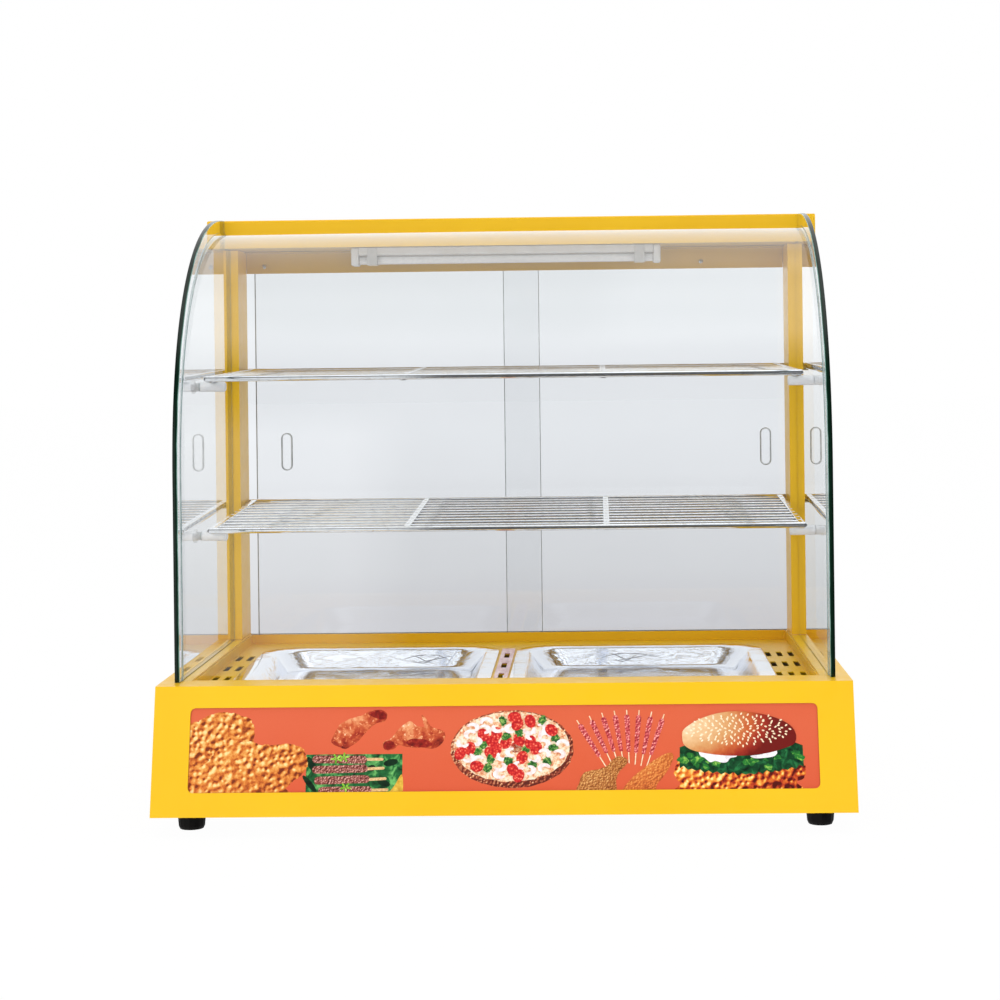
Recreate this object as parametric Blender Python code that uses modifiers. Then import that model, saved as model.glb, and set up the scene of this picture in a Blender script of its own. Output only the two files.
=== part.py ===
"""Countertop hot food display case: a heated base with two food trays, a curved glass
front, two wire shelves, a lamp under the roof and two sliding glass doors at the back.

Units are metres. X runs to the right as the customer sees it, Y runs to the back, where
the server stands, and Z runs up from the counter.
"""

import math

import bmesh
import bpy
from mathutils import Matrix, Vector

# Driving dimensions of the whole case.
WIDTH = 0.660
DEPTH = 0.450
HEIGHT = 0.597
HALF_W = WIDTH / 2
FRONT_Y = -DEPTH / 2
REAR_Y = DEPTH / 2
GAP = 0.0003

# Base.
FOOT_HEIGHT = 0.019
BASE_TOP = 0.1366
FRONT_TOP_Y = -0.1924
BASE_GAUGE = 0.0015
LEAN_RUN = (FRONT_TOP_Y - FRONT_Y) / (BASE_TOP - FOOT_HEIGHT)
LEAN = math.atan(LEAN_RUN)
OPENING_HALF_W = 0.3023
OPENING_FRONT_Y = -0.155
OPENING_REAR_Y = 0.1997
WINDOW_WIDTH = 0.591
WINDOW_HEIGHT = 0.079
WINDOW_BOTTOM = 0.0225
WINDOW_RADIUS = 0.005

# Deck and trays.
SHEET = 0.0012
DECK_Z = 0.1246
DECK_HALF_W = 0.3008
DECK_FRONT_Y = -0.1535
DECK_REAR_Y = 0.1982
DECK_RIM_Z = BASE_TOP - BASE_GAUGE - GAP
SLOT_WIDTH = 0.0057
SLOT_LENGTH = 0.034
SLOT_CORNER = 0.0009
SLOT_ROWS = (-0.068, 0.005, 0.078)
SLOT_COLUMNS = (0.2715, 0.2835, 0.2955)
TRAY_SPANS_X = {"left": (-0.2765, -0.0175), "right": (0.001, 0.2675)}
TRAY_SPAN_Y = (-0.150, 0.154)
TRAY_RIM = 0.015
TRAY_SLOPE = 0.015
TRAY_DEPTH = 0.020
TRAY_GAUGE = 0.0008
DIVIDER_X = -0.0078
DIVIDER_HALF_W = 0.007
DIVIDER_SPAN_Y = (-0.140, 0.132)

# Glass. The curve is a superellipse that starts upright and ends level.
PANE = 0.005
SIDE_GLASS_X = 0.311
SIDE_FRONT_Y = -0.1705
CURVE_START_Z = 0.330
CURVE_RUN = 0.285
CURVE_POWER = 2.2
FRONT_GLASS_INSET = 0.0105

# Rear frame and roof.
POST_INNER_X = 0.303
POST_FRONT_Y = 0.142
POST_INNER_REAR_Y = 0.200
ROOF_BOTTOM = 0.567
ROOF_FRONT_Y = 0.105
HEADER_BOTTOM = 0.543
HEADER_Y = 0.2001

# Sliding doors and their tracks.
TRACK_Y = (0.2005, 0.2235)
TRACK_HALF_W = 0.326
TRACK_WALL = 0.0015
TRACK_BASE_Z = 0.1237
TRACK_SILL_Z = 0.133
TRACK_HEAD_Z = 0.549
DOOR_WIDTH = 0.3225
DOOR_GLASS = 0.004
DOOR_SPAN_Z = (0.1275, 0.556)
DOOR_LEFT_X = -0.295
DOOR_RIGHT_X = -0.0135
DOOR_TRACKS_Y = (0.2065, 0.2172)
PULL_Z = 0.341
PULL_INSETS = {"left": 0.0345, "right": 0.0265}

# Wire shelves.
SHELF_HALF_W = 0.300
SHELF_FRONT_Y = -0.080
SHELF_REAR_Y = 0.188
SHELF_FRAME_R = 0.003
SHELF_WIRE_R = 0.002
SHELF_WIRES = 12
STRIP_WIDTH = 0.010
STRIP_GAUGE = 0.0025
STRIP_TOP = -0.0014
SHELF_HEIGHTS = {"lower": (0.275, 0.286), "upper": (0.427, 0.433)}
SHELF_CENTRES_X = {"lower": 0.0, "upper": -0.002}
PEG_Y = -0.047
PEG_RADIUS = 0.005
PEG_LENGTH = 0.026

# Lamp under the roof.
LAMP_HALF_LENGTH = 0.169
LAMP_Y = 0.130
LAMP_CENTRE_X = -0.006

# Heating and controls.
REFLECTOR_Z = 0.060
HEATER_Z = 0.078
HEATER_RADIUS = 0.004
CONTROL_Y = 0.2052
CONTROL_Z = 0.072
KNOB_X = 0.215
SWITCHES_X = {"heat": 0.155, "light": 0.115}
PILOT_X = 0.265
GLAND_X = -0.265
ROCKER_TILT = math.radians(7)

COLOURS = {
    "yellow_paint": ((0.871, 0.546, 0.026), 0.35, 0.0, 1.0),
    "picture_print": ((0.75, 0.14, 0.06), 0.30, 0.0, 1.0),
    "black_rubber": ((0.012, 0.012, 0.013), 0.75, 0.0, 1.0),
    "stainless_steel": ((0.62, 0.63, 0.65), 0.28, 1.0, 1.0),
    "divider_film": ((0.72, 0.36, 0.38), 0.45, 0.0, 1.0),
    "clear_glass": ((0.85, 0.93, 0.90), 0.02, 0.0, 0.25),
    "aluminium_track": ((0.72, 0.73, 0.74), 0.35, 1.0, 1.0),
    "chrome_wire": ((0.80, 0.81, 0.83), 0.10, 1.0, 1.0),
    "white_nylon": ((0.82, 0.83, 0.84), 0.40, 0.0, 1.0),
    "gold_zinc": ((0.72, 0.55, 0.22), 0.35, 1.0, 1.0),
    "bright_steel": ((0.60, 0.61, 0.62), 0.25, 1.0, 1.0),
    "lamp_white": ((0.85, 0.85, 0.84), 0.35, 0.0, 1.0),
    "lamp_glow": ((0.95, 0.93, 0.88), 0.20, 0.0, 1.0),
    "galvanised_steel": ((0.52, 0.54, 0.55), 0.45, 1.0, 1.0),
    "heater_sheath": ((0.20, 0.19, 0.18), 0.45, 1.0, 1.0),
    "black_plastic": ((0.02, 0.02, 0.022), 0.40, 0.0, 1.0),
    "red_plastic": ((0.60, 0.03, 0.02), 0.30, 0.0, 1.0),
    "beige_plastic": ((0.62, 0.57, 0.46), 0.50, 0.0, 1.0),
}


def clear_scene():
    for item in list(bpy.data.objects):
        bpy.data.objects.remove(item, do_unlink=True)


def make_collection(name, hidden=False):
    collection = bpy.data.collections.new(name)
    collection.hide_render = hidden
    bpy.context.scene.collection.children.link(collection)
    return collection


def make_materials():
    made = {}
    for slot, (colour, roughness, metallic, alpha) in COLOURS.items():
        material = bpy.data.materials.new(slot)
        material.use_nodes = True
        shader = material.node_tree.nodes["Principled BSDF"]
        shader.inputs["Base Color"].default_value = (*colour, 1.0)
        shader.inputs["Roughness"].default_value = roughness
        shader.inputs["Metallic"].default_value = metallic
        shader.inputs["Alpha"].default_value = alpha
        made[slot] = material
    return made


clear_scene()
PARTS = make_collection("hot_food_display_case")
CUTTERS = make_collection("cutters", hidden=True)
MATERIALS = make_materials()


def add_object(name, data, slot=None):
    """An object in the parts, or among the cutters when it has no material slot."""
    item = bpy.data.objects.new(name, data)
    if slot:
        PARTS.objects.link(item)
        data.materials.append(MATERIALS[slot])
    else:
        CUTTERS.objects.link(item)
        item.hide_render = True
        item.display_type = "WIRE"
    return item


def mesh_object(name, bm, slot=None):
    mesh = bpy.data.meshes.new(name)
    bmesh.ops.recalc_face_normals(bm, faces=bm.faces)
    bm.to_mesh(mesh)
    bm.free()
    return add_object(name, mesh, slot)


def box(name, low, high, slot=None, bevel=0.0, bevel_only=None):
    """A box between two corners. bevel_only picks the edges to round by their middle point."""
    low = Vector(low)
    high = Vector(high)
    bm = bmesh.new()
    bmesh.ops.create_cube(bm, size=1.0)
    bmesh.ops.scale(bm, vec=high - low, verts=bm.verts)
    if bevel:
        chosen = []
        for edge in bm.edges:
            middle = (edge.verts[0].co + edge.verts[1].co) / 2
            if bevel_only is None or bevel_only(middle):
                chosen.append(edge)
        bmesh.ops.bevel(bm, geom=chosen, offset=bevel, segments=2, affect="EDGES", profile=0.5)
    item = mesh_object(name, bm, slot)
    item.location = (low + high) / 2
    return item


def cylinder(name, centre, axis, radius, length, slot=None, sides=16):
    bm = bmesh.new()
    bmesh.ops.create_cone(
        bm,
        cap_ends=True,
        segments=sides,
        radius1=radius,
        radius2=radius,
        depth=length,
    )
    item = mesh_object(name, bm, slot)
    item.location = centre
    item.rotation_euler = Vector(axis).to_track_quat("Z", "Y").to_euler()
    return item


def turned(name, profile, slot, steps=16):
    """A turned solid. The profile's (radius, height) points run from its top to its bottom."""
    bm = bmesh.new()
    points = [bm.verts.new((radius, 0.0, height)) for radius, height in profile]
    for first, second in zip(points, points[1:]):
        bm.edges.new((first, second))
    mesh = bpy.data.meshes.new(name)
    bm.to_mesh(mesh)
    bm.free()
    item = add_object(name, mesh, slot)
    screw = item.modifiers.new("turn", "SCREW")
    screw.axis = "Z"
    screw.steps = steps
    screw.render_steps = steps
    screw.use_merge_vertices = True
    screw.merge_threshold = 0.00001
    return item


def to_mesh(item):
    """Replaces a curve object by a mesh object with welded caps, in the same place."""
    bpy.context.view_layer.update()
    graph = bpy.context.evaluated_depsgraph_get()
    mesh = bpy.data.meshes.new_from_object(item.evaluated_get(graph))
    bm = bmesh.new()
    bm.from_mesh(mesh)
    bmesh.ops.remove_doubles(bm, verts=bm.verts, dist=0.000001)
    bmesh.ops.recalc_face_normals(bm, faces=bm.faces)
    bm.to_mesh(mesh)
    bm.free()
    name = item.name
    place = item.matrix_world.copy()
    homes = list(item.users_collection)
    hidden = item.hide_render
    bpy.data.objects.remove(item, do_unlink=True)
    made = bpy.data.objects.new(name, mesh)
    for home in homes:
        home.objects.link(made)
    made.hide_render = hidden
    if hidden:
        made.display_type = "WIRE"
    made.matrix_world = place
    return made


PLANES = {
    "XY": (0.0, 0.0, 0.0),
    "XZ": (math.pi / 2, 0.0, 0.0),
    "YZ": (math.pi / 2, 0.0, math.pi / 2),
}


def plate(name, outlines, plane, low, high, slot=None):
    """Flat outlines in a plane, made solid from low to high across it. Inner outlines are holes."""
    data = bpy.data.curves.new(name, "CURVE")
    data.dimensions = "2D"
    data.fill_mode = "BOTH"
    data.extrude = (high - low) / 2
    for outline in outlines:
        spline = data.splines.new("POLY")
        spline.points.add(len(outline) - 1)
        for point, (across, up) in zip(spline.points, outline):
            point.co = (across, up, 0.0, 1.0)
        spline.use_cyclic_u = True
    item = add_object(name, data, slot)
    item.rotation_euler = PLANES[plane]
    middle = (low + high) / 2
    item.location = {"XY": (0, 0, middle), "XZ": (0, middle, 0), "YZ": (middle, 0, 0)}[plane]
    return item


def ribbon(name, path, plane, low, high, gauge, slot, side):
    """Folded sheet: an open path in a plane, pulled from low to high, then given its gauge."""
    bm = bmesh.new()
    points = [bm.verts.new((across, up, low)) for across, up in path]
    edges = [bm.edges.new(pair) for pair in zip(points, points[1:])]
    pulled = bmesh.ops.extrude_edge_only(bm, edges=edges)
    moved = [part for part in pulled["geom"] if isinstance(part, bmesh.types.BMVert)]
    bmesh.ops.translate(bm, vec=(0.0, 0.0, high - low), verts=moved)
    turn = Matrix.Identity(3)
    if plane == "YZ":
        turn = Matrix(((0, 0, 1), (1, 0, 0), (0, 1, 0)))
    elif plane == "XZ":
        turn = Matrix(((1, 0, 0), (0, 0, 1), (0, 1, 0)))
    for vertex in bm.verts:
        vertex.co = turn @ vertex.co
    mesh = bpy.data.meshes.new(name)
    bm.to_mesh(mesh)
    bm.free()
    item = add_object(name, mesh, slot)
    solidify = item.modifiers.new("gauge", "SOLIDIFY")
    solidify.thickness = gauge
    solidify.offset = side
    solidify.use_even_offset = True
    return item


def rounded_rectangle(x_low, x_high, y_low, y_high, radius, steps=5):
    corners = (
        (x_high - radius, y_high - radius, 0),
        (x_low + radius, y_high - radius, 1),
        (x_low + radius, y_low + radius, 2),
        (x_high - radius, y_low + radius, 3),
    )
    outline = []
    for centre_x, centre_y, quarter in corners:
        for step in range(steps + 1):
            angle = math.pi / 2 * (quarter + step / steps)
            outline.append(
                (centre_x + radius * math.cos(angle), centre_y + radius * math.sin(angle))
            )
    return outline


def slot_outline(centre_x, centre_y, width, length, steps=3):
    """A slot with round ends that runs along the second axis."""
    return rounded_rectangle(
        centre_x - width / 2,
        centre_x + width / 2,
        centre_y - length / 2,
        centre_y + length / 2,
        width / 2 * 0.98,
        steps,
    )


def deck_slot(centre_x, centre_y):
    """One of the warm air slots, punched with small corners."""
    return rounded_rectangle(
        centre_x - SLOT_WIDTH / 2,
        centre_x + SLOT_WIDTH / 2,
        centre_y - SLOT_LENGTH / 2,
        centre_y + SLOT_LENGTH / 2,
        SLOT_CORNER,
        2,
    )


def dish(name, levels, gauge, slot, steps=5):
    """A pressed sheet: level outlines joined from the rim down, with a flat floor."""
    bm = bmesh.new()
    rings = []
    for x_low, x_high, y_low, y_high, height, radius in levels:
        outline = rounded_rectangle(x_low, x_high, y_low, y_high, radius, steps)
        rings.append([bm.verts.new((x, y, height)) for x, y in outline])
    for upper, lower in zip(rings, rings[1:]):
        for index in range(len(upper)):
            following = (index + 1) % len(upper)
            bm.faces.new((upper[index], upper[following], lower[following], lower[index]))
    bm.faces.new(rings[-1])
    mesh = bpy.data.meshes.new(name)
    bm.to_mesh(mesh)
    bm.free()
    item = add_object(name, mesh, slot)
    solidify = item.modifiers.new("gauge", "SOLIDIFY")
    solidify.thickness = gauge
    solidify.offset = -1.0
    solidify.use_even_offset = True
    return item


def wire(name, point_lists, radius, slot, end_scale=1.0):
    """Round wires as one curve. end_scale makes the first and last of them thicker."""
    data = bpy.data.curves.new(name, "CURVE")
    data.dimensions = "3D"
    data.bevel_depth = radius
    data.bevel_resolution = 2
    data.use_fill_caps = True
    for index, points in enumerate(point_lists):
        spline = data.splines.new("POLY")
        spline.points.add(len(points) - 1)
        at_end = index in (0, len(point_lists) - 1)
        for point, place in zip(spline.points, points):
            point.co = (*place, 1.0)
            point.radius = end_scale if at_end else 1.0
    return add_object(name, data, slot)


def combine(item, other, operation="DIFFERENCE"):
    boolean = item.modifiers.new(operation.lower(), "BOOLEAN")
    boolean.operation = operation
    boolean.solver = "EXACT"
    boolean.object = other
    return item


def front_y(height):
    """Where the leaning front's outer face is at a height."""
    return FRONT_Y + (height - FOOT_HEIGHT) * LEAN_RUN


def curve_points(inset, end_y, steps=18):
    """The side glass's front and top edge, or a line this far inside it, from the bottom up."""
    rise = HEIGHT - CURVE_START_Z
    points = []
    for step in range(steps + 1):
        turn = math.pi / 2 * step / steps
        across = max(math.cos(turn), 0.0) ** (2 / CURVE_POWER)
        up = math.sin(turn) ** (2 / CURVE_POWER)
        normal = Vector((-(across ** (CURVE_POWER - 1)) / CURVE_RUN, up ** (CURVE_POWER - 1) / rise))
        normal.normalize()
        y = SIDE_FRONT_Y + CURVE_RUN * (1 - across) - normal.x * inset
        z = CURVE_START_Z + rise * up - normal.y * inset
        if y > end_y:
            last_y, last_z = points[-1]
            share = (end_y - last_y) / (y - last_y)
            points.append((end_y, last_z + (z - last_z) * share))
            break
        points.append((y, z))
    return points


def build_base():
    outer = [
        (FRONT_Y, FOOT_HEIGHT),
        (REAR_Y, FOOT_HEIGHT),
        (REAR_Y, BASE_TOP),
        (FRONT_TOP_Y, BASE_TOP),
    ]
    shell = to_mesh(plate("base_shell", [outer], "YZ", -HALF_W, HALF_W, "yellow_paint"))
    wall = BASE_GAUGE / math.cos(LEAN)
    below = FOOT_HEIGHT - 0.010
    ceiling = BASE_TOP - BASE_GAUGE
    inner = [
        (front_y(below) + wall, below),
        (REAR_Y + 0.010, below),
        (REAR_Y + 0.010, ceiling),
        (front_y(ceiling) + wall, ceiling),
    ]
    inside = HALF_W - BASE_GAUGE
    combine(shell, to_mesh(plate("base_hollow", [inner], "YZ", -inside, inside)))
    mouth = [
        (-OPENING_HALF_W, OPENING_FRONT_Y),
        (OPENING_HALF_W, OPENING_FRONT_Y),
        (OPENING_HALF_W, OPENING_REAR_Y),
        (inside, OPENING_REAR_Y),
        (inside, REAR_Y + 0.010),
        (-inside, REAR_Y + 0.010),
        (-inside, OPENING_REAR_Y),
        (-OPENING_HALF_W, OPENING_REAR_Y),
    ]
    combine(shell, to_mesh(plate("base_mouth", [mouth], "XY", ceiling - 0.003, BASE_TOP + 0.010)))

    face = bpy.data.objects.new("front_face", None)
    PARTS.objects.link(face)
    face.location = (0.0, FRONT_Y, FOOT_HEIGHT)
    face.rotation_euler = (-LEAN, 0.0, 0.0)
    half = WINDOW_WIDTH / 2
    top = WINDOW_BOTTOM + WINDOW_HEIGHT
    hole = rounded_rectangle(-half, half, WINDOW_BOTTOM, top, WINDOW_RADIUS)
    window = plate("window", [hole], "XZ", -0.010, 0.010)
    window.parent = face
    combine(shell, to_mesh(window))
    lap = 0.006
    sheet = [
        (-half - lap, WINDOW_BOTTOM - lap),
        (half + lap, WINDOW_BOTTOM - lap),
        (half + lap, top + lap),
        (-half - lap, top + lap),
    ]
    behind = BASE_GAUGE + GAP
    picture = plate("picture_panel", [sheet], "XZ", behind, behind + 0.0015, "picture_print")
    picture.parent = face

    floor_low = FOOT_HEIGHT + GAP
    inner_x = inside - GAP
    box(
        "bottom_plate",
        (-inner_x, front_y(floor_low) + wall + 0.003, floor_low),
        (inner_x, REAR_Y - 0.002, floor_low + SHEET),
        "galvanised_steel",
    )


def build_feet():
    top = FOOT_HEIGHT
    profile = [
        (0.0, top),
        (0.0140, top),
        (0.0126, 0.003),
        (0.0112, 0.0),
        (0.0050, 0.0),
        (0.0050, 0.008),
        (0.0, 0.008),
    ]
    for row, y in (("front", -0.180), ("rear", 0.180)):
        for side, x in (("left", -0.299), ("right", 0.299)):
            foot = turned(f"foot_{row}_{side}", profile, "black_rubber")
            foot.location = (x, y, 0.0)


def build_deck():
    rim = 0.0112
    levels = [
        (
            -DECK_HALF_W - rim,
            DECK_HALF_W + rim,
            DECK_FRONT_Y - rim,
            DECK_REAR_Y + rim,
            DECK_RIM_Z,
            0.004,
        ),
        (-DECK_HALF_W, DECK_HALF_W, DECK_FRONT_Y, DECK_REAR_Y, DECK_RIM_Z, 0.003),
        (-DECK_HALF_W, DECK_HALF_W, DECK_FRONT_Y, DECK_REAR_Y, DECK_Z, 0.003),
    ]
    deck = dish("deck_plate", levels, SHEET, "yellow_paint", steps=2)
    rear_rim = box(
        "rear_rim",
        (-WIDTH, DECK_REAR_Y + SHEET, DECK_Z - 0.020),
        (WIDTH, REAR_Y + 0.020, BASE_TOP + 0.020),
    )
    combine(deck, rear_rim)
    holes = []
    clearance = 0.008
    low_y, high_y = TRAY_SPAN_Y
    for low_x, high_x in TRAY_SPANS_X.values():
        holes.append(
            rounded_rectangle(
                low_x + clearance,
                high_x - clearance,
                low_y + clearance,
                high_y - clearance,
                0.030,
            )
        )
    for side in (-1, 1):
        for column in SLOT_COLUMNS:
            for row in SLOT_ROWS:
                holes.append(deck_slot(side * column, row))
    for row in SLOT_ROWS:
        holes.append(deck_slot(DIVIDER_X, row))
    combine(deck, to_mesh(plate("deck_holes", holes, "XY", DECK_Z - 0.005, DECK_Z + 0.005)))

    low = DECK_Z + GAP
    front, rear = DIVIDER_SPAN_Y
    left = DIVIDER_X - DIVIDER_HALF_W
    right = DIVIDER_X + DIVIDER_HALF_W
    outline = [(left, front), (right, front), (right, rear), (left, rear)]
    holes = [deck_slot(DIVIDER_X, row) for row in SLOT_ROWS]
    plate("tray_divider", [outline, *holes], "XY", low, low + TRAY_GAUGE, "divider_film")


def build_trays():
    front, rear = TRAY_SPAN_Y
    top = DECK_Z + GAP + TRAY_GAUGE
    floor = top - TRAY_DEPTH
    steps = ((0.0, top, 0.040), (TRAY_RIM, top, 0.030), (TRAY_RIM + TRAY_SLOPE, floor, 0.020))
    for name, (low_x, high_x) in TRAY_SPANS_X.items():
        levels = []
        for step, height, radius in steps:
            levels.append(
                (low_x + step, high_x - step, front + step, rear - step, height, radius)
            )
        dish(f"tray_{name}", levels, TRAY_GAUGE, "stainless_steel")


def build_glass():
    low = BASE_TOP + GAP
    end_y = ROOF_FRONT_Y - GAP
    post_y = POST_FRONT_Y - GAP
    under_roof = ROOF_BOTTOM - GAP
    outline = [(post_y, under_roof), (post_y, low), (SIDE_FRONT_Y, low)]
    outline += curve_points(0.0, end_y)
    outline.append((end_y, under_roof))
    for name, side in (("side_glass_left", -1), ("side_glass_right", 1)):
        span = sorted((side * SIDE_GLASS_X, side * (SIDE_GLASS_X + PANE)))
        pane = to_mesh(plate(name, [outline], "YZ", *span, "clear_glass"))
        drill_peg_holes(pane, side)
    path = [(SIDE_FRONT_Y + FRONT_GLASS_INSET, low)]
    path += curve_points(FRONT_GLASS_INSET, end_y - GAP)
    edge = SIDE_GLASS_X - GAP
    ribbon("front_glass", path, "YZ", -edge, edge, PANE, "clear_glass", -1.0)


def shelf_height(level, y):
    """Height of a shelf's wires at a depth, at rest."""
    front_z, rear_z = SHELF_HEIGHTS[level]
    share = (y - SHELF_FRONT_Y) / (SHELF_REAR_Y - SHELF_FRONT_Y)
    return front_z + (rear_z - front_z) * share


def shelf_tilt(level):
    front_z, rear_z = SHELF_HEIGHTS[level]
    return math.atan((rear_z - front_z) / (SHELF_REAR_Y - SHELF_FRONT_Y))


def peg_height(level):
    below = STRIP_GAUGE - STRIP_TOP + GAP + PEG_RADIUS
    return shelf_height(level, PEG_Y) - below / math.cos(shelf_tilt(level))


def drill_peg_holes(pane, side):
    for level in SHELF_HEIGHTS:
        drill = cylinder(
            f"{pane.name}_{level}_hole",
            (side * (SIDE_GLASS_X + PANE / 2), PEG_Y, peg_height(level)),
            (side, 0, 0),
            0.0040,
            PANE * 3,
        )
        combine(pane, drill)


def build_pegs():
    """White pegs inside, each with a spigot through the glass, and a cap screw outside."""
    peg = [
        (0.0, PEG_LENGTH + PANE - GAP),
        (0.0036, PEG_LENGTH + PANE - GAP),
        (0.0036, PEG_LENGTH - GAP),
        (PEG_RADIUS, PEG_LENGTH - GAP),
        (PEG_RADIUS, 0.0010),
        (PEG_RADIUS - 0.0010, 0.0),
        (0.0, 0.0),
    ]
    cap = [(0.0, 0.0040), (0.0045, 0.0040), (0.0070, 0.0026), (0.0070, 0.0), (0.0, 0.0)]
    for level in SHELF_HEIGHTS:
        for name, side in (("left", -1), ("right", 1)):
            height = peg_height(level)
            turn = (0.0, side * math.pi / 2, 0.0)
            item = turned(f"peg_{level}_{name}", peg, "white_nylon")
            item.location = (side * (SIDE_GLASS_X - PEG_LENGTH), PEG_Y, height)
            item.rotation_euler = turn
            item = turned(f"peg_cap_{level}_{name}", cap, "bright_steel")
            item.location = (side * (SIDE_GLASS_X + PANE + GAP), PEG_Y, height)
            item.rotation_euler = turn


def build_shelves():
    depth = SHELF_REAR_Y - SHELF_FRONT_Y
    reach = SHELF_HALF_W - 0.003
    for level in SHELF_HEIGHTS:
        wires = []
        for index in range(SHELF_WIRES):
            y = depth * index / (SHELF_WIRES - 1)
            end = SHELF_HALF_W if index in (0, SHELF_WIRES - 1) else reach
            wires.append([(-end, y, 0.0), (end, y, 0.0)])
        end_scale = SHELF_FRAME_R / SHELF_WIRE_R
        shelf = wire(f"shelf_{level}", wires, SHELF_WIRE_R, "chrome_wire", end_scale)
        shelf = to_mesh(shelf)
        strips = []
        outermost = SHELF_HALF_W - STRIP_WIDTH / 2 - 0.0005
        for x in (-outermost, -SHELF_HALF_W / 3, SHELF_HALF_W / 3, outermost):
            left = x - STRIP_WIDTH / 2
            right = x + STRIP_WIDTH / 2
            strips.append([(left, -0.002), (right, -0.002), (right, depth + 0.002), (left, depth + 0.002)])
        strips = to_mesh(plate(f"strips_{level}", strips, "XY", STRIP_TOP - STRIP_GAUGE, STRIP_TOP))
        strips.parent = shelf
        combine(shelf, strips, "UNION")
        shelf.location = (SHELF_CENTRES_X[level], SHELF_FRONT_Y, SHELF_HEIGHTS[level][0])
        shelf.rotation_euler = (shelf_tilt(level), 0.0, 0.0)


def build_hooks():
    """Rear shelf hooks on the posts: a tab under the shelf's strip and an upturned stop."""
    for level in SHELF_HEIGHTS:
        tab_z = shelf_height(level, SHELF_REAR_Y - 0.012) - (STRIP_GAUGE - STRIP_TOP) - 0.0006
        stop_y = SHELF_REAR_Y + 0.0055
        path = [(0.172, tab_z), (stop_y, tab_z), (stop_y, tab_z + 0.007)]
        for name, side in (("left", -1), ("right", 1)):
            span = sorted((side * 0.2945, side * (POST_INNER_X - GAP)))
            ribbon(f"hook_{level}_{name}", path, "YZ", *span, SHEET, "gold_zinc", -1.0)


def build_rear_frame():
    for name, side in (("post_left", -1), ("post_right", 1)):
        path = [
            (side * (POST_INNER_X + 0.013), REAR_Y),
            (side * HALF_W, REAR_Y),
            (side * HALF_W, POST_FRONT_Y),
            (side * POST_INNER_X, POST_FRONT_Y),
            (side * POST_INNER_X, POST_INNER_REAR_Y),
        ]
        low = BASE_TOP + GAP
        high = ROOF_BOTTOM - GAP
        ribbon(name, path, "XY", low, high, SHEET, "yellow_paint", -float(side))

    outer = box(
        "roof_hood",
        (-HALF_W, ROOF_FRONT_Y, ROOF_BOTTOM),
        (HALF_W, REAR_Y, HEIGHT),
        "yellow_paint",
        bevel=0.0015,
        bevel_only=lambda middle: middle.z > 0.014,
    )
    hollow = box(
        "roof_hollow",
        (-HALF_W + SHEET, ROOF_FRONT_Y + SHEET, ROOF_BOTTOM - 0.010),
        (HALF_W - SHEET, REAR_Y - SHEET, HEIGHT - SHEET),
    )
    combine(outer, hollow)
    apron = box(
        "roof_apron",
        (-POST_INNER_X - 0.012, REAR_Y - SHEET, TRACK_HEAD_Z),
        (POST_INNER_X + 0.012, REAR_Y, ROOF_BOTTOM + 0.010),
    )
    combine(outer, apron, "UNION")

    box(
        "roof_liner",
        (-HALF_W + SHEET + GAP, ROOF_FRONT_Y + SHEET + GAP, ROOF_BOTTOM + GAP),
        (HALF_W - SHEET - GAP, POST_INNER_REAR_Y, ROOF_BOTTOM + GAP + SHEET),
        "yellow_paint",
    )
    header_top = ROOF_BOTTOM - GAP
    path = [(HEADER_Y - 0.014, header_top), (HEADER_Y, header_top), (HEADER_Y, HEADER_BOTTOM)]
    reach = POST_INNER_X - GAP
    ribbon("header_rail", path, "YZ", -reach, reach, SHEET, "yellow_paint", -1.0)


def track_outline(back_z, mouth_z):
    """A channel with two grooves. Its back is at one height and its mouth at the other."""
    low_y, high_y = TRACK_Y
    inner_back = back_z + math.copysign(TRACK_WALL, mouth_z - back_z)
    middle = (low_y + high_y) / 2
    walls = (
        (low_y, low_y + TRACK_WALL),
        (middle - TRACK_WALL / 2, middle + TRACK_WALL / 2),
        (high_y - TRACK_WALL, high_y),
    )
    outline = [(low_y, back_z)]
    for index, (near, far) in enumerate(walls):
        if index:
            outline.append((near, inner_back))
        outline.append((near, mouth_z))
        outline.append((far, mouth_z))
        if index < len(walls) - 1:
            outline.append((far, inner_back))
    outline.append((high_y, back_z))
    return outline


def build_doors():
    top = track_outline(ROOF_BOTTOM - GAP, TRACK_HEAD_Z)
    plate("top_track", [top], "YZ", -TRACK_HALF_W, TRACK_HALF_W, "aluminium_track")
    bottom = track_outline(TRACK_BASE_Z, TRACK_SILL_Z)
    plate("bottom_track", [bottom], "YZ", -TRACK_HALF_W, TRACK_HALF_W, "aluminium_track")
    low_z, high_z = DOOR_SPAN_Z
    doors = (
        ("door_left", DOOR_LEFT_X, DOOR_TRACKS_Y[0], DOOR_LEFT_X + PULL_INSETS["left"]),
        ("door_right", DOOR_RIGHT_X, DOOR_TRACKS_Y[1], DOOR_RIGHT_X + DOOR_WIDTH - PULL_INSETS["right"]),
    )
    for name, left, y, pull_x in doors:
        half = DOOR_GLASS / 2
        door = box(
            name,
            (left, y - half, low_z),
            (left + DOOR_WIDTH, y + half, high_z),
            "clear_glass",
        )
        groove = slot_outline(pull_x, PULL_Z, 0.011, 0.041, 4)
        groove = plate(f"{name}_pull", [groove], "XZ", y + half - 0.0018, y + half + 0.010)
        combine(door, to_mesh(groove))


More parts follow.
